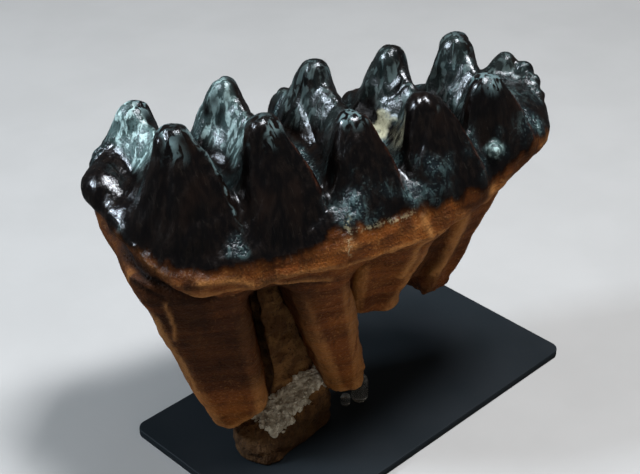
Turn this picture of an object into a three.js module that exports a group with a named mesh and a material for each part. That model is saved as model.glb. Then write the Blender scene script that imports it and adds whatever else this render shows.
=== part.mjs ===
// Fossil mastodon molar standing on a lump of its matrix and two clear pegs, over a thin black plate.
// Millimetres, +Z up, plate bottom at z = 0, +X along the plate's long side.
import * as THREE from "three";
import { mergeVertices } from "three/addons/utils/BufferGeometryUtils.js";

const PLATE_LENGTH = 174.7;
const PLATE_WIDTH = 93.7;
const PLATE_THICKNESS = 3.6;
const PLATE_CORNER_RADIUS = 5;
const CONTACT_GAP = 0.3;

// The tooth keeps its own axes: x from its front end to its heel, y from the near side to the far side.
const TOOTH_TURN = THREE.MathUtils.degToRad(-22.5);
const TOOTH_CENTRE = [-18.6, 0.9];

// Crown base: a chain of round-ended cones (start, end, both radii), stretched across the tooth.
const CROWN_BASE = [
  { from: [-62, 0, 113], to: [-8, 0, 112], radii: [16, 18] },
  { from: [-8, 0, 112], to: [50, 0, 116], radii: [18, 13] },
];
const CROWN_BASE_STRETCH = 2.4;

// How a loph's side falls from its cusp to the crown's margin: way out, fall and width as shares.
const FLANK_WAY = [0, 0.17, 0.42, 0.67, 0.83, 1, 1.2];
const FLANK_FALL = [0, 0.11, 0.34, 0.59, 0.77, 1, 1.4];
const FLANK_REACH = [0.24, 0.5, 0.73, 0.89, 0.97, 1.05, 1.1];
const NEAR_TIP_DROP = 2;
const FAR_TIP_DROP = 4;
const SADDLE_REACH = 1.5;
const FACE_SLOPE = 0.28;
const FACE_ROUND = 6;
const EDGE_ROUND = 1.4;

// What lophs have in common: reach (front, back) of a cusp's outer face, slopes of the faces beside it, how
// far back its highest line lies as a share of the back reach, and the heights where it meets the margin.
const LOPH_SHAPE = {
  nearReach: [11, 16],
  farReach: [11, 11],
  nearSlopes: [2.7, 2.6],
  saddleSlopes: [1.9, 1.9],
  farSlopes: [1.9, 2.2],
  crestShift: 0.45,
  marginZ: 113,
  footZ: 107,
};

// Lophs from front to rear: both cusps, the saddle between them, the crown's half width, and its own shape.
const LOPHS = [
  loph(cusp([-65.5, -18, 163], 9.5, 7), cusp([-70, 18, 155.5], 12, 6.5), [-65, 2, 149], 42, {
    nearReach: [13, 20],
    farReach: [13, 12],
    nearSlopes: [2.1, 2.4],
    saddleSlopes: [1.35, 1.9],
    farSlopes: [1.45, 2.2],
  }),
  loph(cusp([-33, -20, 161], 9.5, 6.8), cusp([-33, 20, 158.5], 12, 5.5), [-29, 2, 148], 43, {
    nearReach: [11, 21],
  }),
  loph(cusp([2, -20, 156.5], 9.5, 7), cusp([3.5, 20, 160], 12.5, 6.8), [6.5, 1, 148.5], 43, {
    nearReach: [12, 18],
  }),
  loph(cusp([32.5, -18, 157], 9.5, 7.2), cusp([35.3, 19, 160.5], 12.5, 6.8), [39, 1, 148], 40.5, {
    nearReach: [12, 23],
    farReach: [11, 13],
  }),
  loph(cusp([61, -14, 158], 8.5, 6.5), cusp([64, 17, 161], 12.5, 7.2), [66.5, 1, 150], 30.5, {
    nearReach: [15, 20],
    farReach: [10, 13],
    marginZ: 118,
    footZ: 112,
  }),
];
const CUSP_FOOT_Z = 124;
const CUSP_INSET = 2.5;

// The crown's front end is rounded off here, and leans back below this height.
const FRONT_X = -92.5;
const FRONT_CURVE = { y: 2, half: 30, depth: 8 };
const FRONT_LEAN = { below: 132, slope: 0.2 };

// Planes that end the crown, under the heel and across its near rear corner, and the front root's break.
const CROWN_ENDS = [
  { at: [86, -17.5, 121], out: [0.382, 0.19, -0.902] },
  { at: [44, -39, 117], out: [0.4, -0.82, -0.41] },
];
const FRONT_ROOT_BREAK = { at: [-50, -12, 17], out: [0.62, -0.2, -0.76] };

// Outer pillars on the far side, at the front foot of the third, fourth and fifth loph.
const FAR_PILLARS = [[-4, 34, 127], [26, 33, 122], [53, 26, 122]];
const FAR_PILLAR_SIZE = [7, 8, 14];

// Heel behind the last loph: its swelling, and round tubercles along its rim (tip and radius).
const HEEL_CENTRE = [78.5, 1, 124];
const HEEL_SIZE = [17, 25, 20];
const HEEL_TUBERCLES = [
  { tip: [85.5, 14, 150], radius: 4.2 },
  { tip: [91, 9, 147], radius: 3.8 },
  { tip: [92.5, 3, 144], radius: 3.4 },
  { tip: [91.5, -3, 141], radius: 3.2 },
  { tip: [89, -8, 137.5], radius: 3 },
];
const TUBERCLE_ROOT = [-7, 0, -14];
const TUBERCLE_SPREAD = 2.5;

// Ledge round the front end of the crown, and the swelling that carries it.
const FRONT_LEDGE = [
  { from: [-84, -14, 122], to: [-88, 4, 130.5], radii: [4.5, 6] },
  { from: [-88, 4, 130.5], to: [-80, 20, 130], radii: [6, 6] },
];
const FRONT_SWELL_CENTRE = [-77, -2, 114];
const FRONT_SWELL_SIZE = [11, 30, 14];

// Fillets between the forms of the crown, and between crown and roots.
const CUSP_BLEND = 4;
const LOPH_BLEND = 4;
const SWELL_BLEND = 5;
const SMALL_BLEND = 3;
const LEDGE_BLEND = 7;
const NECK_BLEND = 9;
const CUT_BLEND = 6;

// Roots and neck: top, bottom, half sizes (x, y) at both, edge radius, turn about z, fillet to the rest.
const FRONT_ROOT = block([-63, -3, 114], [-41.5, -10.5, 19], [20.5, 37.5], [12, 13], 6, -0.22, 4);
const OTHER_ROOTS = [
  block([-20, -15, 108], [4.5, -9, 21], [14, 25.5], [7.5, 10], 6, 0, 4),
  block([-27, 20, 108], [-17, 14, 40], [24, 18], [19, 9], 6, 0, 4),
  block([20, -11, 108], [17.5, -2, 54], [16, 28], [10, 9], 5, -0.1, 4),
  block([42, 2, 108], [35, 8, 56], [14, 21], [8, 8], 5, 0, 4),
  block([60, 0, 111], [50, 9, 46], [11.5, 17], [8, 8], 4, 0.36, 4),
];
const NECK = [
  block([-34, 0, 114], [-34, 0, 93.5], [42, 40.5], [36, 33.5], 7, 0, 7),
  block([15, 0, 114], [15, 0, 98], [27, 37], [23, 28], 7, 0, 7),
];

// Matrix: a loaf on the plate with a slanting top, and a fill that rises between the two front roots.
const MATRIX_FOOT_Z = PLATE_THICKNESS + CONTACT_GAP;
const MATRIX_LOAF = block([-22.5, -9.5, 50], [-23, -10.5, -10], [23.5, 11], [25, 12], 10.5, 0.52, 5);
const MATRIX_TOP = { at: [-24, -9, 27], out: [-0.19, -0.45, 0.873] };
const MATRIX_FILL = block([-22, 0, 80], [-22, -2, -6], [13, 8], [14, 10], 5, 0.2, 5);
const MATRIX_CLEARANCE = 1.2;
const MATRIX_CUT_BLEND = 1;

// Clear pegs under the second root: foot point in the tooth's axes, radius, top height.
const PEGS = [
  { name: "clear_peg_tall", at: [15, -3.6], radius: 3.8, top: 17 },
  { name: "clear_peg_short", at: [8, -4.5], radius: 2.2, top: 9.5 },
];
const PEG_SIDES = 20;

// Cell size of the surfaces, and the boxes that hold them (tooth's axes).
const TOOTH_CELL = 5.4;
const TOOTH_BOX = [[-105.5, -57, 6], [108, 57, 174]];
const MATRIX_CELL = 3.6;
const MATRIX_BOX = [[-60, -44, -2], [20, 26, 92]];
const SETTLE_PASSES = 4;
const SETTLE_STEP = 0.05;
const SETTLE_REACH = 0.45;
const GENTLEST_SLOPE = 0.05;
const FILL_VALUE = -0.1;

/** A cusp: its tip, and the radius of its foot and of its tip. */
function cusp(tip, footRadius, tipRadius) {
  return { tip, footRadius, tipRadius };
}

/** A transverse ridge of the crown, with rows of y, ridge x and z, both reaches and both slopes. */
function loph(near, far, saddle, halfWidth, own) {
  const shape = { ...LOPH_SHAPE, ...own };
  const { nearReach, farReach, nearSlopes, saddleSlopes, farSlopes, crestShift, marginZ, footZ } = shape;
  const side = ({ tip }, drop, reach, slopes) => {
    const z = tip[2] - drop;
    return FLANK_WAY.map((way, i) => {
      const y = Math.abs(tip[1]) + way * (halfWidth - Math.abs(tip[1]));
      const [front, back] = reach.map((v) => v * FLANK_REACH[i]);
      const shift = crestShift * back;
      const ridge = [tip[0] + shift, z - FLANK_FALL[i] * (z - marginZ)];
      return [Math.sign(tip[1]) * y, ...ridge, front + shift, back - shift, ...slopes];
    });
  };
  const middle = [saddle[1], saddle[0], saddle[2], SADDLE_REACH, SADDLE_REACH, ...saddleSlopes];
  const nearSide = side(near, NEAR_TIP_DROP, nearReach, nearSlopes).reverse();
  const farSide = side(far, FAR_TIP_DROP, farReach, farSlopes);
  return { near, far, halfWidth, footZ, rows: [...nearSide, middle, ...farSide] };
}

/** An upright block that shifts and tapers from its top to its bottom. */
function block(top, bottom, halfTop, halfBottom, edge, turn, fillet) {
  return { top, bottom, halfTop, halfBottom, edge, turn, fillet };
}

/** Union of two distances with a fillet of about k. */
function blend(a, b, k) {
  const h = THREE.MathUtils.clamp(0.5 + (0.5 * (b - a)) / k, 0, 1);
  return b * (1 - h) + a * h - k * h * (1 - h);
}

/** What is left of a form where another distance is below zero, with an edge rounded by about k. */
function cut(a, b, k) {
  return -blend(-a, -b, k);
}

/** Height of a point over a plane. */
function overPlane(p, { at, out }) {
  return p.reduce((sum, v, i) => sum + (v - at[i]) * out[i], 0);
}

/** Distance to an ellipsoid. */
function ellipsoid(p, centre, size) {
  let near = 0;
  let slope = 0;
  for (let i = 0; i < 3; i += 1) {
    const q = (p[i] - centre[i]) / size[i];
    near += q * q;
    slope += (q / size[i]) ** 2;
  }
  const k = Math.sqrt(near);
  return (k * (k - 1)) / (Math.sqrt(slope) + 1e-9);
}

/** Distance to a round-ended cone from a to b, stretched along y by the factor wide. */
function cone(p, a, b, ra, rb, wide = 1) {
  const start = new THREE.Vector3(a[0], a[1] / wide, a[2]);
  const axis = new THREE.Vector3(b[0], b[1] / wide, b[2]).sub(start);
  const q = new THREE.Vector3(p[0], p[1] / wide, p[2]).sub(start);
  const length = axis.length();
  axis.divideScalar(length);
  const along = q.dot(axis);
  const across = Math.sqrt(Math.max(q.lengthSq() - along * along, 0));
  const lean = (ra - rb) / length;
  const upright = Math.sqrt(1 - lean * lean);
  const side = along * upright - across * lean;
  if (side < 0) {
    return Math.hypot(along, across) - ra;
  }
  if (side > length * upright) {
    return Math.hypot(along - length, across) - rb;
  }
  return across * upright + along * lean - ra;
}

/** Distance to a tapered block. */
function taperedBlock(p, { top, bottom, halfTop, halfBottom, edge, turn }) {
  const t = THREE.MathUtils.clamp((top[2] - p[2]) / (top[2] - bottom[2]), 0, 1);
  const mix = (a, b) => THREE.MathUtils.lerp(a, b, t);
  const x = p[0] - mix(top[0], bottom[0]);
  const y = p[1] - mix(top[1], bottom[1]);
  const c = Math.cos(turn);
  const s = Math.sin(turn);
  const qx = Math.abs(c * x + s * y) - mix(halfTop[0], halfBottom[0]) + edge;
  const qy = Math.abs(c * y - s * x) - mix(halfTop[1], halfBottom[1]) + edge;
  const qz = Math.abs(p[2] - (top[2] + bottom[2]) / 2) - (top[2] - bottom[2]) / 2 + edge;
  const outside = Math.hypot(Math.max(qx, 0), Math.max(qy, 0), Math.max(qz, 0));
  return outside + Math.min(Math.max(qx, qy, qz), 0) - edge;
}

/** A loph's row at y, with the rise of its ridge along y at the end. */
function rowAt(rows, y) {
  const next = rows.findIndex((row) => row[0] > y);
  const i = THREE.MathUtils.clamp(next < 0 ? rows.length - 1 : next, 1, rows.length - 1);
  const [a, b] = [rows[i - 1], rows[i]];
  const t = THREE.MathUtils.clamp((y - a[0]) / (b[0] - a[0]), 0, 1);
  return [...a.map((v, k) => THREE.MathUtils.lerp(v, b[k], t)), (b[2] - a[2]) / (b[0] - a[0])];
}

/** One loph: a ridge with broad outer faces, and its two cusps. */
function lophField(p, { near, far, halfWidth, footZ, rows }) {
  const [, x, z, front, back, steepFront, steepBack, rise] = rowAt(rows, p[1]);
  const off = p[0] - x;
  const curve = Math.hypot(off, FACE_ROUND);
  const pastFront = Math.exp((-off - front) / EDGE_ROUND);
  const pastBack = Math.exp((off - back) / EDGE_ROUND);
  let top = z - FACE_SLOPE * (curve - FACE_ROUND);
  top -= (steepFront - FACE_SLOPE) * EDGE_ROUND * Math.log1p(pastFront);
  top -= (steepBack - FACE_SLOPE) * EDGE_ROUND * Math.log1p(pastBack);
  let lean = (FACE_SLOPE * off) / curve;
  lean -= (steepFront - FACE_SLOPE) / (1 + 1 / pastFront);
  lean += (steepBack - FACE_SLOPE) / (1 + 1 / pastBack);
  let d = Math.max((p[2] - top) / Math.hypot(1, lean, rise), footZ - p[2]);
  for (const { tip, footRadius, tipRadius } of [near, far]) {
    const foot = [tip[0], Math.sign(tip[1]) * (halfWidth - footRadius - CUSP_INSET), CUSP_FOOT_Z];
    const ball = [tip[0], tip[1], tip[2] - tipRadius];
    d = blend(d, cone(p, foot, ball, footRadius, tipRadius), CUSP_BLEND);
  }
  return d;
}

/** The heel with its tubercles. */
function heelField(p) {
  let d = ellipsoid(p, HEEL_CENTRE, HEEL_SIZE);
  for (const { tip, radius } of HEEL_TUBERCLES) {
    const foot = tip.map((v, i) => v + TUBERCLE_ROOT[i]);
    const ball = [tip[0], tip[1], tip[2] - radius];
    d = blend(d, cone(p, foot, ball, radius + TUBERCLE_SPREAD, radius), SMALL_BLEND);
  }
  return d;
}

/** The crown: base, five lophs, far pillars, heel and front ledge. */
function crownField(p) {
  const stretched = ({ from, to, radii }) => cone(p, from, to, ...radii, CROWN_BASE_STRETCH);
  let d = blend(...CROWN_BASE.map(stretched), LOPH_BLEND);
  for (const ridge of LOPHS) {
    d = blend(d, lophField(p, ridge), LOPH_BLEND);
  }
  const curve = ((p[1] - FRONT_CURVE.y) / FRONT_CURVE.half) ** 2 * FRONT_CURVE.depth;
  const front = FRONT_X + curve + FRONT_LEAN.slope * Math.max(FRONT_LEAN.below - p[2], 0) - p[0];
  d = cut(d, front, CUT_BLEND);
  for (const pillar of FAR_PILLARS) {
    d = blend(d, ellipsoid(p, pillar, FAR_PILLAR_SIZE), SMALL_BLEND);
  }
  d = blend(d, heelField(p), LOPH_BLEND);
  for (const end of CROWN_ENDS) {
    d = cut(d, overPlane(p, end), CUT_BLEND);
  }
  for (const { from, to, radii } of FRONT_LEDGE) {
    d = blend(d, cone(p, from, to, ...radii), LEDGE_BLEND);
  }
  return blend(d, ellipsoid(p, FRONT_SWELL_CENTRE, FRONT_SWELL_SIZE), SWELL_BLEND);
}

/** The whole tooth: roots and neck under the crown. */
function toothField(p) {
  let d = cut(taperedBlock(p, FRONT_ROOT), overPlane(p, FRONT_ROOT_BREAK), FRONT_ROOT.fillet);
  for (const root of [...OTHER_ROOTS, ...NECK]) {
    d = blend(d, taperedBlock(p, root), root.fillet);
  }
  return blend(crownField(p), d, NECK_BLEND);
}

/** The matrix, cut flat over the plate and kept clear of the tooth. */
function matrixField(p) {
  let body = cut(taperedBlock(p, MATRIX_LOAF), overPlane(p, MATRIX_TOP), MATRIX_LOAF.fillet);
  body = blend(body, taperedBlock(p, MATRIX_FILL), MATRIX_FILL.fillet);
  const clear = cut(body, MATRIX_CLEARANCE - toothField(p), MATRIX_CUT_BLEND);
  return Math.max(clear, MATRIX_FOOT_Z - p[2]);
}

/** Slides a point along the field's slope on to its surface. */
function settle(field, point, limit) {
  const start = [...point];
  for (let pass = 0; pass < SETTLE_PASSES; pass += 1) {
    const value = field(point);
    const slope = [0, 1, 2].map((i) => {
      const ahead = [...point];
      ahead[i] += SETTLE_STEP;
      return (field(ahead) - value) / SETTLE_STEP;
    });
    const steep = Math.max(slope[0] ** 2 + slope[1] ** 2 + slope[2] ** 2, GENTLEST_SLOPE);
    for (let i = 0; i < 3; i += 1) {
      const moved = point[i] - (value * slope[i]) / steep;
      point[i] = THREE.MathUtils.clamp(moved, start[i] - limit, start[i] + limit);
    }
  }
  return point;
}

/** Fills crevices narrower than a cell, where two sheets of the surface would share an edge. */
function fillCrevices(values, stride) {
  const inside = (n) => values[n] < 0;
  let open = true;
  while (open) {
    open = false;
    for (let n = 0; n < values.length - stride[1] - stride[2]; n += 1) {
      for (const [u, v] of [[0, 1], [1, 2], [2, 0]]) {
        const square = [n, n + stride[u], n + stride[u] + stride[v], n + stride[v]];
        const [a, b, c, d] = square.map(inside);
        if (a === c && b === d && a !== b) {
          const outer = square.filter((corner) => !inside(corner));
          const shallow = values[outer[0]] < values[outer[1]] ? outer[0] : outer[1];
          values[shallow] = FILL_VALUE;
          open = true;
        }
      }
    }
  }
}

/** Closed mesh of a field's zero surface: one vertex in each crossed cell, one quad on each crossed edge. */
function polygonise(field, [low, high], cell) {
  const count = low.map((v, i) => Math.ceil((high[i] - v) / cell) + 1);
  const stride = [1, count[0], count[0] * count[1]];
  const values = new Float64Array(count[0] * count[1] * count[2]);
  const node = (n) => {
    const k = Math.floor(n / stride[2]);
    const j = Math.floor((n - k * stride[2]) / stride[1]);
    return [n - k * stride[2] - j * stride[1], j, k];
  };
  for (let n = 0; n < values.length; n += 1) {
    values[n] = field(node(n).map((v, i) => low[i] + v * cell));
  }
  fillCrevices(values, stride);
  const positions = [];
  const vertexOf = new Map();
  const index = [];
  for (let n = 0; n < values.length; n += 1) {
    const at = node(n);
    if (at.some((v, i) => v >= count[i] - 1)) {
      continue;
    }
    const sum = [0, 0, 0];
    let hits = 0;
    for (let axis = 0; axis < 3; axis += 1) {
      const [u, v] = [(axis + 1) % 3, (axis + 2) % 3];
      for (const [du, dv] of [[0, 0], [1, 0], [0, 1], [1, 1]]) {
        const a = n + du * stride[u] + dv * stride[v];
        const b = a + stride[axis];
        if (values[a] < 0 === values[b] < 0) {
          continue;
        }
        sum[axis] += values[a] / (values[a] - values[b]);
        sum[u] += du;
        sum[v] += dv;
        hits += 1;
      }
    }
    if (hits > 0) {
      const point = sum.map((s, i) => low[i] + (at[i] + s / hits) * cell);
      vertexOf.set(n, positions.length / 3);
      positions.push(...settle(field, point, cell * SETTLE_REACH));
    }
  }
  const corner = (i) => new THREE.Vector3().fromArray(positions, i * 3);
  for (let n = 0; n < values.length; n += 1) {
    const at = node(n);
    for (let axis = 0; axis < 3; axis += 1) {
      const [u, v] = [(axis + 1) % 3, (axis + 2) % 3];
      const inRange = at[axis] < count[axis] - 1 && at[u] > 0 && at[v] > 0;
      if (!inRange || values[n] < 0 === values[n + stride[axis]] < 0) {
        continue;
      }
      const cells = [n - stride[u] - stride[v], n - stride[v], n, n - stride[u]];
      const quad = cells.map((c) => vertexOf.get(c));
      if (values[n] >= 0) {
        quad.reverse();
      }
      const [a, b, c, d] = quad;
      const straight = corner(a).distanceTo(corner(c)) <= corner(b).distanceTo(corner(d));
      index.push(...(straight ? [a, b, c, a, c, d] : [a, b, d, b, c, d]));
    }
  }
  const geometry = new THREE.BufferGeometry();
  geometry.setAttribute("position", new THREE.Float32BufferAttribute(positions, 3));
  geometry.setIndex(index);
  return geometry;
}

/** Puts a geometry drawn in the tooth's axes at the tooth's place over the plate. */
function placeWithTooth(geometry) {
  return geometry.rotateZ(TOOTH_TURN).translate(TOOTH_CENTRE[0], TOOTH_CENTRE[1], 0);
}

/** Rounded rectangle plate. */
function plateGeometry() {
  const x = PLATE_LENGTH / 2;
  const y = PLATE_WIDTH / 2;
  const r = PLATE_CORNER_RADIUS;
  const outline = new THREE.Shape();
  outline.moveTo(-x + r, -y);
  outline.lineTo(x - r, -y);
  outline.absarc(x - r, -y + r, r, -Math.PI / 2, 0);
  outline.lineTo(x, y - r);
  outline.absarc(x - r, y - r, r, 0, Math.PI / 2);
  outline.lineTo(-x + r, y);
  outline.absarc(-x + r, y - r, r, Math.PI / 2, Math.PI);
  outline.lineTo(-x, -y + r);
  outline.absarc(-x + r, -y + r, r, Math.PI, Math.PI * 1.5);
  const options = { depth: PLATE_THICKNESS, bevelEnabled: false, curveSegments: 6 };
  return weld(new THREE.ExtrudeGeometry(outline, options));
}

/** Round peg with a narrower foot and a domed head, turned about its own axis. */
function pegGeometry(peg) {
  const foot = PLATE_THICKNESS + CONTACT_GAP;
  const r = peg.radius;
  const profile = [
    new THREE.Vector2(0, foot),
    new THREE.Vector2(0.55 * r, foot),
    new THREE.Vector2(0.9 * r, foot + 0.3 * r),
    new THREE.Vector2(r, foot + 0.75 * r),
    new THREE.Vector2(r, peg.top - 0.75 * r),
    new THREE.Vector2(0.85 * r, peg.top - 0.35 * r),
    new THREE.Vector2(0.5 * r, peg.top - 0.08 * r),
    new THREE.Vector2(0, peg.top),
  ];
  const turned = new THREE.LatheGeometry(profile, PEG_SIDES).rotateX(Math.PI / 2);
  return placeWithTooth(weld(turned).translate(peg.at[0], peg.at[1], 0));
}

/** Joins equal vertices so that the surface closes. */
function weld(geometry) {
  geometry.deleteAttribute("normal");
  geometry.deleteAttribute("uv");
  return mergeVertices(geometry, 1e-4);
}

/** Named mesh with its own material. */
function subPart(name, geometry, color, roughness, metalness) {
  geometry.computeVertexNormals();
  const mesh = new THREE.Mesh(geometry, new THREE.MeshStandardMaterial({ color, roughness, metalness }));
  mesh.name = name;
  return mesh;
}

const part = new THREE.Group();
part.name = "mastodon_molar_on_stand";

const tooth = polygonise(toothField, TOOTH_BOX, TOOTH_CELL);
part.add(subPart("molar", placeWithTooth(tooth), 0x2b221c, 0.35, 0));

const matrix = polygonise(matrixField, MATRIX_BOX, MATRIX_CELL);
part.add(subPart("matrix_lump", placeWithTooth(matrix), 0x9a8468, 0.92, 0));

part.add(subPart("base_plate", plateGeometry(), 0x22262a, 0.5, 0));

for (const peg of PEGS) {
  part.add(subPart(peg.name, pegGeometry(peg), 0xdfe4e6, 0.08, 0));
}

export default part;
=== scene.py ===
"""Fossil mastodon molar on its stand: fine surfaces, finishes, camera, floor and light.

Sizes are in millimetres. The tooth keeps its own axes: x from its front end to its heel, y from the near
side to the far side, z up from the underside of the plate.
"""

import logging
import math
from dataclasses import dataclass, replace
from enum import Enum, IntEnum
from functools import cached_property, partial
from typing import Any, Callable, Sequence

import bmesh
import bpy
import numpy as np
from mathutils import Euler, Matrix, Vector


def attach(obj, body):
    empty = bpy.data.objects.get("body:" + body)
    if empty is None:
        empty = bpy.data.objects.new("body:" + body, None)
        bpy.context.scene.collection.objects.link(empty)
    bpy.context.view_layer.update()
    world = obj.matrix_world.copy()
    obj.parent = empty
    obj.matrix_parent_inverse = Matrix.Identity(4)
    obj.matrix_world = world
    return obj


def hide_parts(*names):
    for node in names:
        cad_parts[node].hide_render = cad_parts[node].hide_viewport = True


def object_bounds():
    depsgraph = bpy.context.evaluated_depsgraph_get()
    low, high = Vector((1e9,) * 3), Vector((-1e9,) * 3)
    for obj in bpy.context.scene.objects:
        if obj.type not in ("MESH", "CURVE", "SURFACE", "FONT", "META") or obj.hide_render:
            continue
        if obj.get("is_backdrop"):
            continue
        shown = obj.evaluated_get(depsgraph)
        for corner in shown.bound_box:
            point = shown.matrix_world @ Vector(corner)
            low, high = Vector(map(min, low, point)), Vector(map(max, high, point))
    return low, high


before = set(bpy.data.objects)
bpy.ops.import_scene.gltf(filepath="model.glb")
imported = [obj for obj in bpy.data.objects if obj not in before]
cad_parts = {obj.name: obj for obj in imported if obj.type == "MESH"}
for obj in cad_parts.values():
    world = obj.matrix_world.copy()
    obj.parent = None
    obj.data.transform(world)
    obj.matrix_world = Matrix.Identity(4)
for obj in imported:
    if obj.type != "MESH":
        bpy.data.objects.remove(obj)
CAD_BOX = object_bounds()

LOG = logging.getLogger("molar_scene")
MM = 0.001

Array = np.ndarray
Field = Callable[[Array], Array]
Pair = tuple[float, float]
Triple = tuple[float, float, float]

# Meshing: a rough grid finds where the surface may lie, and the mesh's points then slide on to it.
ROUGH_STEP = 4
CLOSE_STEPS = 2.2
FILLED_MM = -0.02
PROBE_MM = 0.05
LEAST_SLOPE = 0.05
LARGEST_MOVE = 0.45
SLIDES = 2


class Node(str, Enum):
    """Names of the CAD nodes that the pieces stand for."""

    MOLAR = "molar"
    MATRIX = "matrix_lump"
    PLATE = "base_plate"
    PEG_TALL = "clear_peg_tall"
    PEG_SHORT = "clear_peg_short"


class Slot(str, Enum):
    """Names of material slots."""

    TOOTH = "fossil_tooth"
    MATRIX = "matrix"
    PLATE = "plate_paint"
    ACRYLIC = "clear_acrylic"


class Mask(str, Enum):
    """Names of the surface attributes that tell a finish where its layers lie."""

    ROOT = "root"
    ENAMEL = "enamel"
    SHADE = "shade"
    CRUST_AND_GLINTS = "crust"
    PATINA_AND_SHEEN = "patina"
    WEAR_AND_GLINT = "wear"
    WARM_RIM_REFLECTION = "rim"
    PALE = "pale"
    DARK = "dark"
    TAN = "tan"
    SEDIMENT = "sediment"
    CRUMBLY = "crumbly"


class Grain(str, Enum):
    """Names of the patterns that a finish is made of."""

    BANDS = "bands"
    FIBRES = "fibres"
    MOTTLE = "mottle"
    WRINKLES = "wrinkles"
    MARBLE = "marble"
    SPECKLE = "speckle"
    GRIT = "grit"
    SCRATCH = "scratch"


class Along(IntEnum):
    """What a zone is measured along: a place in the tooth's axes, or a part of the outward normal."""

    X = 0
    Y = 1
    Z = 2
    OUT_X = 3
    OUT_Y = 4
    OUT_Z = 5


def linear(code: str) -> tuple[float, float, float, float]:
    """Turns an sRGB hex colour into linear light.

    Args:
        code: Six hex digits after a hash sign.

    Returns:
        Linear red, green and blue with full alpha.
    """
    parts = [int(code[i : i + 2], 16) / 255 for i in (1, 3, 5)]
    red, green, blue = (p / 12.92 if p <= 0.04045 else ((p + 0.055) / 1.055) ** 2.4 for p in parts)
    return red, green, blue, 1.0


def smooth(low: float, high: float, value: Array) -> Array:
    """Eased step from 0 at low to 1 at high; low may be above high."""
    t = np.clip((value - low) / (high - low), 0, 1)
    return t * t * (3 - 2 * t)


def bump_at(centre: float, width: float, value: Array) -> Array:
    """Bell curve of height 1 round a centre."""
    return np.exp(-(((value - centre) / width) ** 2))


def lumps(points: Array, size: float | Sequence[float], seed: int) -> Array:
    """Smooth seeded noise.

    Args:
        points: Places in millimetres, one row each.
        size: Size of a lump in millimetres, one for all axes or one for each.
        seed: Picks the pattern.

    Returns:
        One value from -1 to 1 for each point.
    """
    scaled = points / np.asarray(size, float) + 31.7 * seed
    cell = np.floor(scaled).astype(np.int64)
    part = scaled - cell
    part = part * part * (3 - 2 * part)
    total = np.zeros(len(points))
    for corner in np.ndindex(2, 2, 2):
        key = (cell + corner) @ np.array([374761393, 668265263, 1440662683]) + seed * 69069
        key = (key ^ (key >> 13)) * 1274126177 & 0xFFFFFFFF
        value = ((key ^ (key >> 16)) & 0xFFFF) / 32767.5 - 1
        weight = np.prod(np.where(corner, part, 1 - part), axis=1)
        total += value * weight
    return total


def layered(points: Array, size: float, seed: int, layers: int = 3) -> Array:
    """Sum of lumps, each layer half the size and half the height of the one before."""
    return sum(lumps(points, size / 2**i, seed + i) / 2**i for i in range(layers))


def shaken(points: Array, height: float, size: float) -> Array:
    """Points moved about by a layered noise of a height and a size in millimetres."""
    return points + height * np.stack([layered(points, size, seed) for seed in (61, 62, 63)], 1)


def on_line(pairs: Sequence[Pair], value: Array) -> Array:
    """Heights of a line through some pairs of place and height."""
    places, heights = zip(*pairs)
    return np.interp(value, places, heights)


@dataclass(frozen=True)
class Swell:
    """Smooth lumps of a height and a size in millimetres, with the seed of their pattern."""

    height: float
    size: float | Triple
    seed: int


def swelling(points: Array, *swells: Swell) -> Array:
    """Sum of the heights of some swells at each point."""
    return sum(s.height * lumps(points, s.size, s.seed) for s in swells)


@dataclass(frozen=True)
class Zone:
    """A part of a surface with soft ends: each step eases from 0 at its first value to 1 at its second."""

    steps: tuple[tuple[Along, float, float], ...]
    share: float = 1.0

    def at(self, rows: Array) -> Array:
        """Share of the zone in each row of a place and a normal."""
        total = np.full(len(rows), self.share)
        for along, low, high in self.steps:
            total *= smooth(low, high, rows[:, along])
        return total


def blend(a: Array, b: Array, k: float) -> Array:
    """Union of two distances with a fillet of about k."""
    h = np.clip(0.5 + 0.5 * (b - a) / k, 0, 1)
    return b * (1 - h) + a * h - k * h * (1 - h)


def ellipsoid(p: Array, centre: Sequence[float], size: Sequence[float]) -> Array:
    """Distance to an ellipsoid."""
    q = (p - np.array(centre)) / np.array(size)
    k = np.linalg.norm(q, axis=-1)
    return k * (k - 1) / (np.linalg.norm(q / np.array(size), axis=-1) + 1e-9)


@dataclass(frozen=True)
class Cone:
    """A round-ended cone, stretched along y by the factor wide."""

    start: Triple
    end: Triple
    radii: Pair
    wide: float = 1.0

    def distance(self, p: Array) -> Array:
        """Distance from points to the cone.

        Args:
            p: Points.

        Returns:
            Their distances, below 0 inside.
        """
        squeeze = np.array([1, 1 / self.wide, 1])
        start = np.array(self.start) * squeeze
        axis = np.array(self.end) * squeeze - start
        length = np.linalg.norm(axis)
        q = p * squeeze - start
        along = q @ (axis / length)
        across = np.sqrt(np.maximum((q * q).sum(-1) - along * along, 0))
        lean = (self.radii[0] - self.radii[1]) / length
        upright = math.sqrt(1 - lean * lean)
        side = along * upright - across * lean
        flank = across * upright + along * lean - self.radii[0]
        first = np.hypot(along, across) - self.radii[0]
        last = np.hypot(along - length, across) - self.radii[1]
        return np.where(side < 0, first, np.where(side > length * upright, last, flank))


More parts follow.
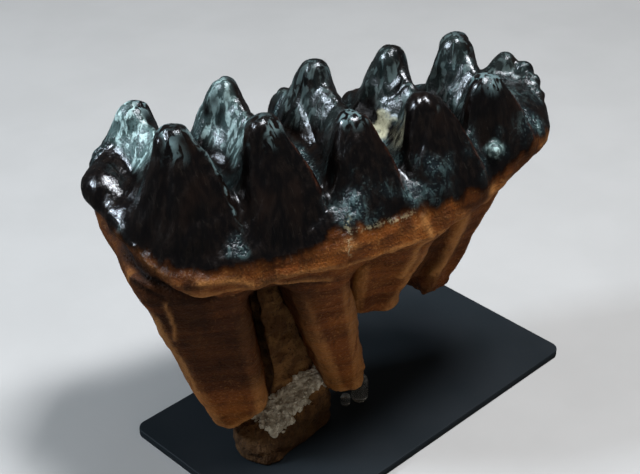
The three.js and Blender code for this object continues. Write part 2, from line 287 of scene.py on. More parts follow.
@dataclass(frozen=True)
class Block:
    """An upright block that shifts and tapers from its top to its bottom."""

    top: Triple
    bottom: Triple
    half_top: Pair
    half_bottom: Pair
    edge: float
    turn: float = 0.0
    fillet: float = 4.0

    def distance(self, p: Array) -> Array:
        """Distance from points to the block.

        Args:
            p: Points.

        Returns:
            Their distances, below 0 inside.
        """
        top, bottom = np.array(self.top), np.array(self.bottom)
        t = np.clip((top[2] - p[..., 2]) / (top[2] - bottom[2]), 0, 1)
        x = p[..., 0] - (top[0] + t * (bottom[0] - top[0]))
        y = p[..., 1] - (top[1] + t * (bottom[1] - top[1]))
        c, s = math.cos(self.turn), math.sin(self.turn)
        half_x = self.half_top[0] + t * (self.half_bottom[0] - self.half_top[0])
        half_y = self.half_top[1] + t * (self.half_bottom[1] - self.half_top[1])
        qx = np.abs(c * x + s * y) - half_x + self.edge
        qy = np.abs(c * y - s * x) - half_y + self.edge
        qz = np.abs(p[..., 2] - (top[2] + bottom[2]) / 2) - (top[2] - bottom[2]) / 2 + self.edge
        outside = np.sqrt(sum(np.maximum(q, 0) ** 2 for q in (qx, qy, qz)))
        return outside + np.minimum(np.maximum(np.maximum(qx, qy), qz), 0) - self.edge


@dataclass(frozen=True)
class Flank:
    """How one side of a loph falls from its cusp to the crown's margin, as shares of that way."""

    way: tuple[float, ...] = (0, 0.17, 0.42, 0.67, 0.83, 1, 1.2)
    fall: tuple[float, ...] = (0, 0.11, 0.34, 0.59, 0.77, 1, 1.4)
    reach: tuple[float, ...] = (0.24, 0.5, 0.73, 0.89, 0.97, 1.05, 1.1)


@dataclass(frozen=True)
class Loph:
    """A transverse ridge of the crown: a near and a far cusp with a saddle between them.

    Each cusp has a broad outer face between a front and a back edge that run down from its tip.
    """

    near: Triple
    far: Triple
    saddle: Triple
    half_width: float
    near_reach: Pair
    near_radii: Pair = (15, 7)
    far_radii: Pair = (12, 6)
    far_reach: Pair = (11, 11)
    near_slopes: Pair = (2.7, 2.6)
    saddle_slopes: Pair = (1.9, 1.9)
    far_slopes: Pair = (1.9, 2.2)
    tip_drop: Pair = (2.0, 4.0)
    crest_shift: float = 0.45
    cusp_foot_z: float = 124.0
    fillet: float = 4.0
    margin_z: float = 113.0
    face_slope: float = 0.28
    face_round: float = 6.0
    edge_round: float = 0.9
    foot_z: float = 107.0
    cusp_inset: float = 2.5
    saddle_reach: Pair = (1.5, 1.5)
    crest_drop: Pair = (9, 4)
    crest_side: float = 2.0
    table_step: float = 0.5
    table_overrun: float = 4.0
    table_softening: int = 11
    flank: Flank = Flank()

    @cached_property
    def table(self) -> Array:
        """Rows of y, ridge x, ridge z, front and back reach, front and back slope, from near to far."""
        rows = []
        for tip, drop, reach, slopes in (
            (self.near, self.tip_drop[0], self.near_reach, self.near_slopes),
            (self.far, self.tip_drop[1], self.far_reach, self.far_slopes),
        ):
            x, y, z = tip
            z -= drop
            span = self.half_width - abs(y)
            side = []
            for way, fall, share in zip(self.flank.way, self.flank.fall, self.flank.reach):
                out = math.copysign(abs(y) + way * span, y)
                shift = self.crest_shift * share * reach[1]
                sides = (share * reach[0] + shift, share * reach[1] - shift)
                side.append((out, x + shift, z - fall * (z - self.margin_z), *sides, *slopes))
            rows += side[::-1] if y < 0 else side
            if y < 0:
                x, y, z = self.saddle
                rows.append((y, x, z, *self.saddle_reach, *self.saddle_slopes))
        knots = np.array(rows)
        past = self.table_overrun
        fine = np.arange(knots[0, 0] - past, knots[-1, 0] + past, self.table_step)
        table = np.stack([fine] + [np.interp(fine, knots[:, 0], knots[:, i]) for i in range(1, 7)], 1)
        kernel = np.hanning(self.table_softening)
        for i in range(1, 7):
            padded = np.pad(table[:, i], self.table_softening // 2, mode="edge")
            table[:, i] = np.convolve(padded, kernel / kernel.sum(), mode="valid")
        return table

    def crest(self, p: Array, width: float) -> Array:
        """Share of the near cusp's back edge in each point, fading out over a width."""
        table = self.table
        x, z, back = (np.interp(p[:, 1], table[:, 0], table[:, i]) for i in (1, 2, 4))
        line = bump_at(0, width, p[:, 0] - x - back) * smooth(*self.crest_drop, np.abs(p[:, 2] - z))
        return line * smooth(self.crest_side, -self.crest_side, p[:, 1] - self.near[1])

    def distance(self, p: Array) -> Array:
        """Distance from points to the ridge.

        Args:
            p: Points.

        Returns:
            Their distances, below 0 inside.
        """
        table = self.table
        y = p[..., 1]
        x, z, front, back, steep_f, steep_b = (np.interp(y, table[:, 0], table[:, i]) for i in range(1, 7))
        grade = np.interp(y, table[:, 0], np.gradient(table[:, 2], table[:, 0]))
        off = p[..., 0] - x
        curve = np.sqrt(off * off + self.face_round**2)
        past_f = (-off - front) / self.edge_round
        past_b = (off - back) / self.edge_round
        top = z - self.face_slope * (curve - self.face_round)
        top -= (steep_f - self.face_slope) * self.edge_round * np.logaddexp(0, past_f)
        top -= (steep_b - self.face_slope) * self.edge_round * np.logaddexp(0, past_b)
        lean = self.face_slope * off / curve
        lean -= (steep_f - self.face_slope) / (1 + np.exp(-np.clip(past_f, -30, 30)))
        lean += (steep_b - self.face_slope) / (1 + np.exp(-np.clip(past_b, -30, 30)))
        height = p[..., 2]
        d = np.maximum((height - top) / np.sqrt(1 + lean * lean + grade * grade), self.foot_z - height)
        for (tx, ty, tz), (wide, fine) in ((self.near, self.near_radii), (self.far, self.far_radii)):
            foot = (tx, math.copysign(self.half_width - wide - self.cusp_inset, ty), self.cusp_foot_z)
            d = blend(d, Cone(foot, (tx, ty, tz - fine), (wide, fine)).distance(p), self.fillet)
        return d


@dataclass(frozen=True)
class Seam:
    """A line along a few points of the tooth, raised or sunk by height, with a tone laid along it."""

    points: tuple[Triple, ...]
    width: float
    height: float
    tone: Mask
    share: float = 1.0

    def closeness(self, p: Array) -> Array:
        """Share of the line in each point: 1 on the line, fading out over its width."""
        gaps = [Cone(a, b, (0, 0)).distance(p) for a, b in zip(self.points, self.points[1:])]
        return bump_at(0, self.width, np.minimum.reduce(gaps))


@dataclass
class Surface:
    """A closed mesh of four-sided faces, in millimetres in the tooth's axes."""

    points: Array
    quads: Array

    def normals(self) -> Array:
        """Unit normals at the points."""
        corner = self.points[self.quads]
        face = np.cross(corner[:, 2] - corner[:, 0], corner[:, 3] - corner[:, 1])
        total = np.zeros_like(self.points)
        for i in range(4):
            np.add.at(total, self.quads[:, i], face)
        return total / (np.linalg.norm(total, axis=1, keepdims=True) + 1e-12)

    def rows(self) -> Array:
        """Each point's place followed by its unit normal."""
        return np.hstack([self.points, self.normals()])

    def neighbour_mean(self, values: Array) -> Array:
        """Mean of a value over each point's neighbours along the faces' edges."""
        total = np.zeros_like(values)
        count = np.zeros(len(values))
        for i in range(4):
            a, b = self.quads[:, i], self.quads[:, (i + 1) % 4]
            np.add.at(total, a, values[b])
            np.add.at(total, b, values[a])
            np.add.at(count, a, 1)
            np.add.at(count, b, 1)
        return total / (count if values.ndim == 1 else count[:, None])

    def hollowness(self, passes: int) -> Array:
        """How far the neighbourhood stands above each point, in millimetres: over 0 in a hollow."""
        normals = self.normals()
        mean = self.points
        for _ in range(passes):
            mean = self.neighbour_mean(mean)
        return ((mean - self.points) * normals).sum(1)


def fill_crevices(values: Array) -> None:
    """Fills crevices narrower than a cell, where two sheets of the surface would share an edge.

    Args:
        values: Distances on a grid, changed in place.
    """
    pairs = ((0, 1), (1, 2), (2, 0))
    while True:
        found = False
        for u, v in pairs:
            shape = list(values.shape)
            shape[u] -= 1
            shape[v] -= 1

            def window(du: int, dv: int) -> tuple[slice, ...]:
                """Part of the grid that is moved by du and dv."""
                cut = [slice(None)] * 3
                cut[u] = slice(du, du + shape[u])
                cut[v] = slice(dv, dv + shape[v])
                return tuple(cut)

            a, b, c, d = (values[window(*o)] < 0 for o in ((0, 0), (1, 0), (1, 1), (0, 1)))
            crossed = (a == c) & (b == d) & (a != b)
            if crossed.any():
                found = True
                spot = np.argwhere(crossed & ~a)
                other = np.argwhere(crossed & a)
                other[:, u] += 1
                for place in (spot, other):
                    values[tuple(place.T)] = FILLED_MM
        if not found:
            return


def polygonise(distance: Field, low: Sequence[float], high: Sequence[float], cell: float) -> Surface:
    """Meshes a field's zero surface: one point in each crossed cell, one face on each crossed edge.

    Args:
        distance: Gives the distance of points, below 0 inside.
        low: Lowest corner of the space that is searched.
        high: Highest corner.
        cell: Edge of a cell.

    Returns:
        The closed surface, its faces turned outwards.
    """
    step = ROUGH_STEP
    origin = np.array(low, float)
    count = np.ceil((np.array(high) - origin) / (cell * step)).astype(int) * step + 1
    axes = [origin[i] + cell * np.arange(count[i]) for i in range(3)]
    rough = distance(np.stack(np.meshgrid(*(a[::step] for a in axes), indexing="ij"), -1))
    owner = np.ix_(*(np.minimum((np.arange(n) + step // 2) // step, (n - 1) // step) for n in count))
    values = rough[owner].copy()
    close = np.abs(values) < CLOSE_STEPS * cell * step
    values[close] = distance(np.stack([axes[i][ix] for i, ix in enumerate(np.nonzero(close))], -1))
    fill_crevices(values)
    inside = values < 0
    corners = list(np.ndindex(2, 2, 2))
    base = tuple(slice(0, n - 1) for n in count)
    shifted = [inside[tuple(slice(o, o + n - 1) for o, n in zip(c, count))] for c in corners]
    crossed = np.any(shifted, axis=0) & ~np.all(shifted, axis=0)
    cells = np.argwhere(crossed)
    number = np.full(inside[base].shape, -1)
    number[crossed] = np.arange(len(cells))
    total = np.zeros((len(cells), 3))
    hits = np.zeros(len(cells))
    for corner in corners:
        for axis in range(3):
            if corner[axis]:
                continue
            far = np.array(corner)
            far[axis] = 1
            va = values[tuple((cells + corner).T)]
            vb = values[tuple((cells + far).T)]
            cut = (va < 0) != (vb < 0)
            spot = np.tile(np.array(corner, float), (len(cells), 1))
            spot[:, axis] = np.where(cut, va / np.where(cut, va - vb, 1), 0)
            total += spot * cut[:, None]
            hits += cut
    points = origin + (cells + total / hits[:, None]) * cell
    faces = []
    for axis in range(3):
        u, v = (axis + 1) % 3, (axis + 2) % 3
        edges = np.argwhere(np.diff(inside.astype(np.int8), axis=axis) != 0)
        outward = inside[tuple(edges.T)]
        ring = []
        for du, dv in ((1, 1), (0, 1), (0, 0), (1, 0)):
            near = edges.copy()
            near[:, u] -= du
            near[:, v] -= dv
            ring.append(number[tuple(near.T)])
        quad = np.stack(ring, 1)
        quad[~outward] = quad[~outward][:, ::-1]
        faces.append(quad)
    surface = Surface(points, np.concatenate(faces))
    return settle(distance, surface, cell)


def settle(distance: Field, surface: Surface, cell: float) -> Surface:
    """Slides a surface's points along the field's slope on to the zero surface.

    Args:
        distance: Gives the distance of points, below 0 inside.
        surface: The surface to move.
        cell: Edge of a cell, which limits each move.

    Returns:
        The moved surface.
    """
    points = surface.points
    most = LARGEST_MOVE * cell
    for _ in range(SLIDES):
        value = distance(points)
        slope = np.stack([distance(points + PROBE_MM * axis) - value for axis in np.eye(3)], 1) / PROBE_MM
        steep = np.maximum((slope * slope).sum(1), LEAST_SLOPE)
        move = slope * (value / steep)[:, None]
        points = points - np.clip(move, -most, most)
    return Surface(points, surface.quads)


@dataclass(frozen=True)
class ToothPlace:
    """Where the tooth's axes stand over the plate."""

    turn: float = math.radians(-22.5)
    centre: Pair = (-18.6, 0.9)

    def to_frame(self, points: Array) -> Array:
        """Turns points from the tooth's axes in millimetres into the frame in metres."""
        c, s = math.cos(self.turn), math.sin(self.turn)
        x = c * points[:, 0] - s * points[:, 1] + self.centre[0]
        y = s * points[:, 0] + c * points[:, 1] + self.centre[1]
        return np.stack([x, y, points[:, 2]], 1) * MM


PLACE = ToothPlace()


def add_mesh(name: str, points: Array, faces: Sequence, material: bpy.types.Material) -> bpy.types.Object:
    """Makes a smooth-shaded object in the scene.

    Args:
        name: Name of the object and its mesh.
        points: Places in metres in the frame.
        faces: Point numbers of each face.
        material: The finish.

    Returns:
        The new object.
    """
    mesh = bpy.data.meshes.new(name)
    mesh.from_pydata(points.tolist(), [], [list(map(int, f)) for f in faces])
    mesh.polygons.foreach_set("use_smooth", np.ones(len(mesh.polygons), bool))
    mesh.materials.append(material)
    mesh.update()
    piece = bpy.data.objects.new(name, mesh)
    bpy.context.scene.collection.objects.link(piece)
    return piece


def add_mask(piece: bpy.types.Object, mask: Mask, values: Array) -> None:
    """Stores one value for each point of a piece, for its finish to read."""
    layer = piece.data.attributes.new(mask.value, "FLOAT", "POINT")
    layer.data.foreach_set("value", values.astype(np.float32))


def seat(piece: bpy.types.Object, slot: Slot, *nodes: Node) -> None:
    """Ties a piece to the object's body and hides the CAD nodes that it stands for."""
    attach(piece, "root")
    if nodes:
        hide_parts(*(n.value for n in nodes))
    LOG.info("piece %s: %d faces", piece.name, len(piece.data.polygons))


def put(
    tree: bpy.types.NodeTree, kind: str, links: dict[Any, Any], out: Any = 0, **settings: Any
) -> bpy.types.NodeSocket:
    """Adds a shader node.

    Args:
        tree: The tree that gets the node.
        kind: Blender's name for the node's type, without its "ShaderNode".
        links: Input name or number to a value, or to the output that feeds it.
        out: Name or number of the output that is wanted.
        **settings: Properties of the node.

    Returns:
        The wanted output.
    """
    node = tree.nodes.new("ShaderNode" + kind)
    for name, value in settings.items():
        setattr(node, name, value)
    for key, value in links.items():
        if isinstance(value, bpy.types.NodeSocket):
            tree.links.new(value, node.inputs[key])
        else:
            node.inputs[key].default_value = value
    return node.outputs[out]


def new_material(name: str) -> tuple[bpy.types.Material, bpy.types.NodeTree, bpy.types.Node]:
    """Makes an empty node material.

    Args:
        name: Name of the material.

    Returns:
        The material, its node tree and its surface shader.
    """
    material = bpy.data.materials.new(name)
    material.use_nodes = True
    tree = material.node_tree
    tree.nodes.clear()
    surface = put(tree, "BsdfPrincipled", {})
    output = tree.nodes.new("ShaderNodeOutputMaterial")
    tree.links.new(surface, output.inputs["Surface"])
    return material, tree, surface.node


@dataclass(frozen=True)
class Pattern:
    """A noise with lumps of a real size.

    size is a lump's width in millimetres, stretch its length along each axis in widths, and warp how far
    it is drawn into veins.
    """

    size: float
    stretch: Triple = (1, 1, 1)
    detail: float = 4.0
    warp: float = 0.0


@dataclass(frozen=True)
class Layer:
    """A colour laid over the ones before it.

    It fades in where its pattern goes from low to high, covers share at most, and keeps to its mask.
    """

    colour: str
    roughness: float
    grain: Grain | None = None
    low: float = 0.0
    high: float = 1.0
    share: float = 1.0
    mask: Mask | None = None


@dataclass(frozen=True)
class Relief:
    """A pattern's height in millimetres, under one mask."""

    grain: Grain
    height: float
    mask: Mask | None = None


@dataclass(frozen=True)
class Finish:
    """A surface made of layers of colour and shallow relief."""

    name: str
    base: str
    roughness: float
    patterns: dict[Grain, Pattern]
    layers: tuple[Layer, ...]
    reliefs: tuple[Relief, ...]
    ior: float = 1.5
    specular: float = 0.5
    transmission: float = 0.0

    def material(self) -> bpy.types.Material:
        """Builds the material."""
        material, tree, shader = new_material(self.name)
        node = partial(put, tree)
        place = node("TexCoord", {}, "Object")
        used = {item.mask for item in (*self.layers, *self.reliefs) if item.mask}
        masks = {mask: node("Attribute", {}, "Fac", attribute_name=mask.value) for mask in sorted(used)}
        grains = {}
        for grain, pattern in self.patterns.items():
            scale = [1 / (reach * pattern.size * MM) for reach in pattern.stretch]
            spot = node("Mapping", {"Vector": place, "Scale": scale})
            feed = {"Vector": spot, "Scale": 1.0, "Detail": pattern.detail, "Distortion": pattern.warp}
            grains[grain] = node("TexNoise", feed)
        colour: Any = linear(self.base)
        rough: Any = self.roughness
        for layer in self.layers:
            share: Any = layer.share
            if layer.grain:
                feed = {0: grains[layer.grain], 1: layer.low, 2: layer.high, 4: layer.share}
                share = node("MapRange", feed, interpolation_type="SMOOTHSTEP")
            if layer.mask:
                share = node("Math", {0: share, 1: masks[layer.mask]}, operation="MULTIPLY")
            colour = node("Mix", {0: share, 6: colour, 7: linear(layer.colour)}, 2, data_type="RGBA")
            rough = node("Mix", {0: share, 2: rough, 3: layer.roughness}, 0, data_type="FLOAT")
        height: Any = 0.0
        for relief in self.reliefs:
            part = node("Math", {0: grains[relief.grain], 1: relief.height}, operation="MULTIPLY")
            if relief.mask:
                part = node("Math", {0: part, 1: masks[relief.mask]}, operation="MULTIPLY")
            height = node("Math", {0: height, 1: part}, operation="ADD")
        normal = node("Bump", {"Height": height, "Strength": 1.0, "Distance": MM})
        for key, value in (("Base Color", colour), ("Roughness", rough), ("Normal", normal)):
            tree.links.new(value, shader.inputs[key])
        shader.inputs["IOR"].default_value = self.ior
        shader.inputs["Specular IOR Level"].default_value = self.specular
        shader.inputs["Transmission Weight"].default_value = self.transmission
        return material


# Fossil tooth: enamel stained black by minerals, with its natural polish, over stained roots.
# The enamel shows little of its own colour and mostly small sharp reflections. A grey-green bloom lies in
# streaks on its front faces and as a crust in the valleys; their pale streaks and specks are partly painted
# reflections of the light. The cusp tips carry painted highlights as well as wear, the first loph's back
# edge a painted glint and the other near cusps' back edges a painted warm reflection. The roots are brown,
# with faint growth bands, painted highlights in tan on their edges, and painted shade on the front root, on
# a rear root and in the grooves under the enamel.
# The real bands and wrinkles are near 0.3 mm. They are drawn coarser here, as the picture can show them.
FOSSIL_TOOTH = Finish(
    "fossil_enamel_and_stained_root",
    "#723d16",
    0.5,
    {
        Grain.BANDS: Pattern(4.2, (14, 14, 1)),
        Grain.FIBRES: Pattern(2.2, (1, 1, 9)),
        Grain.MOTTLE: Pattern(13, (1, 1, 1.6), 5),
        Grain.WRINKLES: Pattern(2.2, (1, 1, 5)),
        Grain.MARBLE: Pattern(2.9, (1, 1, 2.8), 8, 0.7),
        Grain.SPECKLE: Pattern(1.1, detail=5),
        Grain.GRIT: Pattern(0.8),
        Grain.SCRATCH: Pattern(0.5, (1, 7, 12), 2, 1.2),
    },
    (
        Layer("#3a1c0a", 0.55, Grain.BANDS, 0.42, 0.6, 0.55),
        Layer("#8a501c", 0.46, Grain.MOTTLE, 0.45, 0.7, 0.5),
        Layer("#1d0f07", 0.6, Grain.FIBRES, 0.6, 0.66, 0.3),
        Layer("#a8733e", 0.55, Grain.SPECKLE, 0.55, 0.68, 0.45),
        Layer("#170d07", 0.6, Grain.GRIT, 0.58, 0.7, 0.45),
        # Painted shade: darkens the front root under the enamel and the faces of two roots; below the
        # enamel's edge it is real stain.
        Layer("#180d06", 0.55, Grain.MOTTLE, 0.15, 0.5, 0.75, Mask.SHADE),
        # Painted highlight in tan: warm light on the roots' near edges, on the front root's front flank and
        # on two raised lips.
        Layer("#b47c44", 0.5, Grain.FIBRES, 0.2, 0.5, 0.75, Mask.TAN),
        Layer("#060404", 0.17, mask=Mask.ENAMEL),
        Layer("#120b07", 0.3, Grain.WRINKLES, 0.42, 0.66, 0.8, Mask.ENAMEL),
        Layer("#1e1109", 0.26, Grain.MOTTLE, 0.5, 0.75, 0.5, Mask.ENAMEL),
        # Painted warm reflection along the back edges of the near cusps of lophs 2 to 5.
        Layer("#5e3524", 0.3, Grain.FIBRES, 0.3, 0.6, 0.8, Mask.WARM_RIM_REFLECTION),
        # Grey-green bloom on faces turned to the front: partly real bloom, partly painted reflection of the
        # light on those faces.
        Layer("#566c69", 0.34, Grain.MOTTLE, 0.25, 0.5, 0.85, Mask.PATINA_AND_SHEEN),
        Layer("#bfdad4", 0.34, Grain.MARBLE, 0.49, 0.6, 0.9, Mask.PATINA_AND_SHEEN),
        Layer("#161b19", 0.3, Grain.SPECKLE, 0.53, 0.6, 0.6, Mask.PATINA_AND_SHEEN),
        # Grey-teal crust in the valleys; its pale marbling and specks are partly painted glints.
        Layer("#233236", 0.26, Grain.MOTTLE, 0.3, 0.55, 0.7, Mask.CRUST_AND_GLINTS),
        Layer("#6e8a88", 0.24, Grain.MARBLE, 0.5, 0.64, 0.45, Mask.CRUST_AND_GLINTS),
        Layer("#738b87", 0.24, Grain.SPECKLE, 0.54, 0.66, 0.5, Mask.CRUST_AND_GLINTS),
        # Pale on the cusp tips and along the first loph's back edge: partly wear, partly painted highlight.
        Layer("#94b0b0", 0.28, Grain.MARBLE, 0.46, 0.56, 0.45, Mask.WEAR_AND_GLINT),
        Layer("#5d574d", 0.45, Grain.SCRATCH, 0.64, 0.76, 0.1, Mask.ENAMEL),
        # Painted shade: near black in the grooves under the enamel's front edge.
        Layer("#0b0705", 0.6, mask=Mask.DARK, share=0.9),
        Layer("#a59a78", 0.5, Grain.SPECKLE, 0.45, 0.58, 0.9, Mask.PALE),
        Layer("#b5b294", 0.8, Grain.GRIT, 0.15, 0.5, 0.95, Mask.SEDIMENT),
    ),
    (
        Relief(Grain.WRINKLES, 0.35, Mask.ENAMEL),
        Relief(Grain.SCRATCH, 0.06, Mask.ENAMEL),
        Relief(Grain.BANDS, 0.9, Mask.ROOT),
        Relief(Grain.FIBRES, 0.35, Mask.ROOT),
        Relief(Grain.SPECKLE, 0.7, Mask.ROOT),
        Relief(Grain.GRIT, 0.3, Mask.ROOT),
        Relief(Grain.GRIT, 0.08),
        Relief(Grain.SPECKLE, 1.0, Mask.CRUST_AND_GLINTS),
        Relief(Grain.SPECKLE, 0.35, Mask.PATINA_AND_SHEEN),
    ),
    1.6,
    0.4,
)

# The same tooth below the enamel: stained dentine, worn dull in the ground, so the eye sees its brown and
# hardly any shine.
STAINED_ROOT = replace(FOSSIL_TOOTH, name="stained_root_dentine", specular=0.1)

# Cemented sediment: brown silt broken rough and dull, with pale crystals set into its upper side.
CEMENTED_SILT = Finish(
    "brown_cemented_silt",
    "#583a1f",
    0.88,
    {
        Grain.MOTTLE: Pattern(6, detail=8),
        Grain.FIBRES: Pattern(2.0, (1, 1, 5)),
        Grain.GRIT: Pattern(1.1),
        Grain.SPECKLE: Pattern(0.75, detail=2),
    },
    (
        Layer("#7f5932", 0.88, Grain.MOTTLE, 0.4, 0.62, 0.9),
        Layer("#77562f", 0.88, Grain.FIBRES, 0.5, 0.7, 0.5),
        Layer("#2a1a0e", 0.9, Grain.GRIT, 0.55, 0.7, 0.7),
        Layer("#1c120a", 0.9, Grain.MOTTLE, 0.2, 0.5, 0.65, Mask.SHADE),
        Layer("#a39577", 0.8, Grain.SPECKLE, 0.4, 0.56, 0.9, Mask.CRUMBLY),
    ),
    (Relief(Grain.GRIT, 1.2), Relief(Grain.SPECKLE, 0.5, Mask.CRUMBLY), Relief(Grain.FIBRES, 1.0)),
    specular=0.2,
)

# Loose crystals of the sediment, broken with dull glassy faces: pale grey-tan specks that catch the light.
PALE_CRYSTALS = Finish(
    "pale_broken_crystals",
    "#9c907a",
    0.6,
    {Grain.MOTTLE: Pattern(3.0), Grain.GRIT: Pattern(0.6)},
    (Layer("#cdc3ad", 0.55, Grain.MOTTLE, 0.42, 0.6), Layer("#efe9da", 0.5, Grain.GRIT, 0.6, 0.7, 0.7)),
    (Relief(Grain.GRIT, 0.2),),
)

# Satin black paint sprayed on sheet metal: near black, with a soft wide shine and a faint orange peel.
SATIN_BLACK = Finish(
    "satin_black_paint_on_metal",
    "#1b2023",
    0.5,
    {Grain.MOTTLE: Pattern(35, detail=6), Grain.GRIT: Pattern(0.8, detail=2)},
    (Layer("#1f2326", 0.58, Grain.MOTTLE, 0.35, 0.7), Layer("#2a2e30", 0.6, Grain.GRIT, 0.62, 0.75, 0.4)),
    (Relief(Grain.GRIT, 0.02),),
    specular=0.15,
)

# Clear cast acrylic, turned and a little scuffed: see-through, with soft bright edges where it bends light.
CLEAR_ACRYLIC = Finish(
    "clear_cast_acrylic",
    "#d8d6cf",
    0.05,
    {Grain.MOTTLE: Pattern(3)},
    (Layer("#cfcabd", 0.16, Grain.MOTTLE, 0.4, 0.65),),
    (Relief(Grain.MOTTLE, 0.05),),
    1.49,
    transmission=0.93,
)

# Matt pale painted board: even, with a slight change of sheen only.
PALE_BOARD = Finish(
    "matt_pale_painted_board",
    "#b4b1ac",
    0.75,
    {Grain.MOTTLE: Pattern(60, detail=5), Grain.GRIT: Pattern(1.2)},
    (Layer("#b0ada8", 0.82, Grain.MOTTLE, 0.35, 0.65),),
    (Relief(Grain.GRIT, 0.02),),
)


@dataclass
class Molar:
    """The tooth: crown and roots as one piece."""

    lophs: tuple[Loph, ...] = (
        Loph(
            near=(-65.5, -18, 163), far=(-70, 18, 155.5), saddle=(-65, 2, 149), half_width=42,
            near_reach=(13, 20), near_radii=(9.5, 7), far_radii=(12, 6.5), far_reach=(13, 12),
            near_slopes=(2.1, 2.4), saddle_slopes=(1.35, 1.9), far_slopes=(1.45, 2.2),
        ),
        Loph(
            near=(-33, -20, 161), far=(-33, 20, 158.5), saddle=(-29, 2, 148), half_width=43,
            near_reach=(11, 21), near_radii=(9.5, 6.8), far_radii=(12, 5.5),
        ),
        Loph(
            near=(2, -20, 156.5), far=(3.5, 20, 160), saddle=(6.5, 1, 148.5), half_width=43,
            near_reach=(12, 18), near_radii=(9.5, 7), far_radii=(12.5, 6.8),
        ),
        Loph(
            near=(32.5, -18, 157), far=(35.3, 19, 160.5), saddle=(39, 1, 148), half_width=40.5,
            near_reach=(12, 23), near_radii=(9.5, 7.2), far_radii=(12.5, 6.8), far_reach=(11, 13),
        ),
        Loph(
            near=(61, -14, 158), far=(64, 17, 161), saddle=(66.5, 1, 150), half_width=30.5,
            near_reach=(15, 20), near_radii=(8.5, 6.5), far_radii=(12.5, 7.2), far_reach=(10, 13),
            foot_z=112, margin_z=118,
        ),
    )
    front_x: float = -92.5
    front_round: float = 6.0
    front_top: float = 132.0
    front_lean: float = 0.2
    front_bow: float = 8.0
    front_bow_y: float = 2.0
    front_bow_reach: float = 30.0
    heel_edge: Triple = (86, -17.5, 121)
    heel_under: Triple = (0.382, 0.19, -0.902)
    rear_corner: Triple = (44, -39, 117)
    rear_corner_out: Triple = (0.4, -0.82, -0.41)
    crown_base: tuple[Cone, ...] = (
        Cone((-62, 0, 113), (-8, 0, 112), (16, 18), 2.4),
        Cone((-8, 0, 112), (50, 0, 116), (18, 13), 2.4),
    )
    far_pillars: tuple[Triple, ...] = ((-4, 34, 127), (26, 33, 122), (53, 26, 122))
    far_pillar_size: Triple = (7, 8, 14)
    pillar_fillet: float = 3.0
    loph_fillet: float = 4.0
    ledge_fillet: float = 7.0
    swell_fillet: float = 5.0
    bead_fillet: float = 1.0
    heel_centre: Triple = (78.5, 1, 124)
    heel_size: Triple = (17, 25, 20)
    heel_tubercles: tuple[tuple[float, float, float, float], ...] = (
        (85.5, 14, 150, 4.2),
        (91, 9, 147, 3.8),
        (92.5, 3, 144, 3.4),
        (91.5, -3, 141, 3.2),
        (89, -8, 137.5, 3.0),
    )
    tubercle_back: float = 7.0
    tubercle_rise: float = 14.0
    tubercle_widening: float = 2.5
    tubercle_fillet: float = 3.0
    valley_beads: tuple[tuple[float, float, float, float], ...] = ((59.5, -28, 132.5, 2.6),)
    front_ledge: tuple[Cone, ...] = (
        Cone((-84, -14, 122), (-88, 4, 130.5), (4.5, 6)),
        Cone((-88, 4, 130.5), (-80, 20, 130), (6, 6)),
    )
    front_swell_centre: Triple = (-77, -2, 114)
    front_swell_size: Triple = (11, 30, 14)
    roots: tuple[Block, ...] = (
        Block((-63, -3, 114), (-41.5, -10.5, 19), (20.5, 37.5), (12, 13), 6, -0.22, 4),
        Block((-20, -15, 108), (4.5, -9, 21), (14, 25.5), (7.5, 10), 6, 0, 4),
        Block((-27, 20, 108), (-17, 14, 40), (24, 18), (19, 9), 6, 0, 4),
        Block((20, -11, 108), (17.5, -2, 54), (16, 28), (10, 9), 5, -0.1, 4),
        Block((42, 2, 108), (35, 8, 56), (14, 21), (8, 8), 5, 0, 4),
        Block((60, 0, 111), (50, 9, 46), (11.5, 17), (8, 8), 4, 0.36, 4),
        Block((-34, 0, 114), (-34, 0, 93.5), (42, 40.5), (36, 33.5), 7, 0, 7),
        Block((15, 0, 114), (15, 0, 98), (27, 37), (23, 28), 7, 0, 7),
    )
    neck_fillet: float = 9.0
    break_at: Triple = (-50, -12, 17)
    break_under: Triple = (0.62, -0.2, -0.76)
    enamel_edge: tuple[Pair, ...] = (
        (-91, 123),
        (-80, 117),
        (-66, 115),
        (-34, 112.5),
        (-9, 118.5),
        (56, 119.5),
        (80, 129),
    )
    # Grooves sunk under the enamel's front edge and coloured near black as painted shade.
    undercuts: tuple[Seam, ...] = (
        Seam(
            ((-91, 6, 118), (-89, -20, 117), (-83, -35, 113), (-76, -40, 107), (-62, -40, 102)),
            2.3, -3.8, Mask.DARK,
        ),
        Seam(((-88, -32, 111), (-85, -35, 109), (-78, -36, 104)), 1.2, -1.0, Mask.DARK, 0.8),
    )
    # Raised lips along the enamel's edge: the first two carry the painted highlight in tan, the third a real
    # pale mark.
    lips: tuple[Seam, ...] = (
        Seam(
            ((-90, -17, 123), (-86, -30, 122), (-81, -34, 117), (-77, -39, 115)),
            0.8, 0.8, Mask.TAN, 0.35,
        ),
        Seam(
            ((-66, -43, 112), (-51, -43.5, 109.5), (-34, -39.5, 102), (-14, -39, 98)),
            1.3, 0.8, Mask.TAN, 0.8,
        ),
        Seam(((-6, -42.5, 119.5), (5, -42, 119), (19, -38.5, 118.5)), 0.7, 0.4, Mask.PALE, 0.6),
    )
    fissure: Seam = Seam(((-7, -39.5, 124), (-8, -42.5, 119), (-8.5, -46, 111)), 0.9, -0.6, Mask.PALE, 0.8)
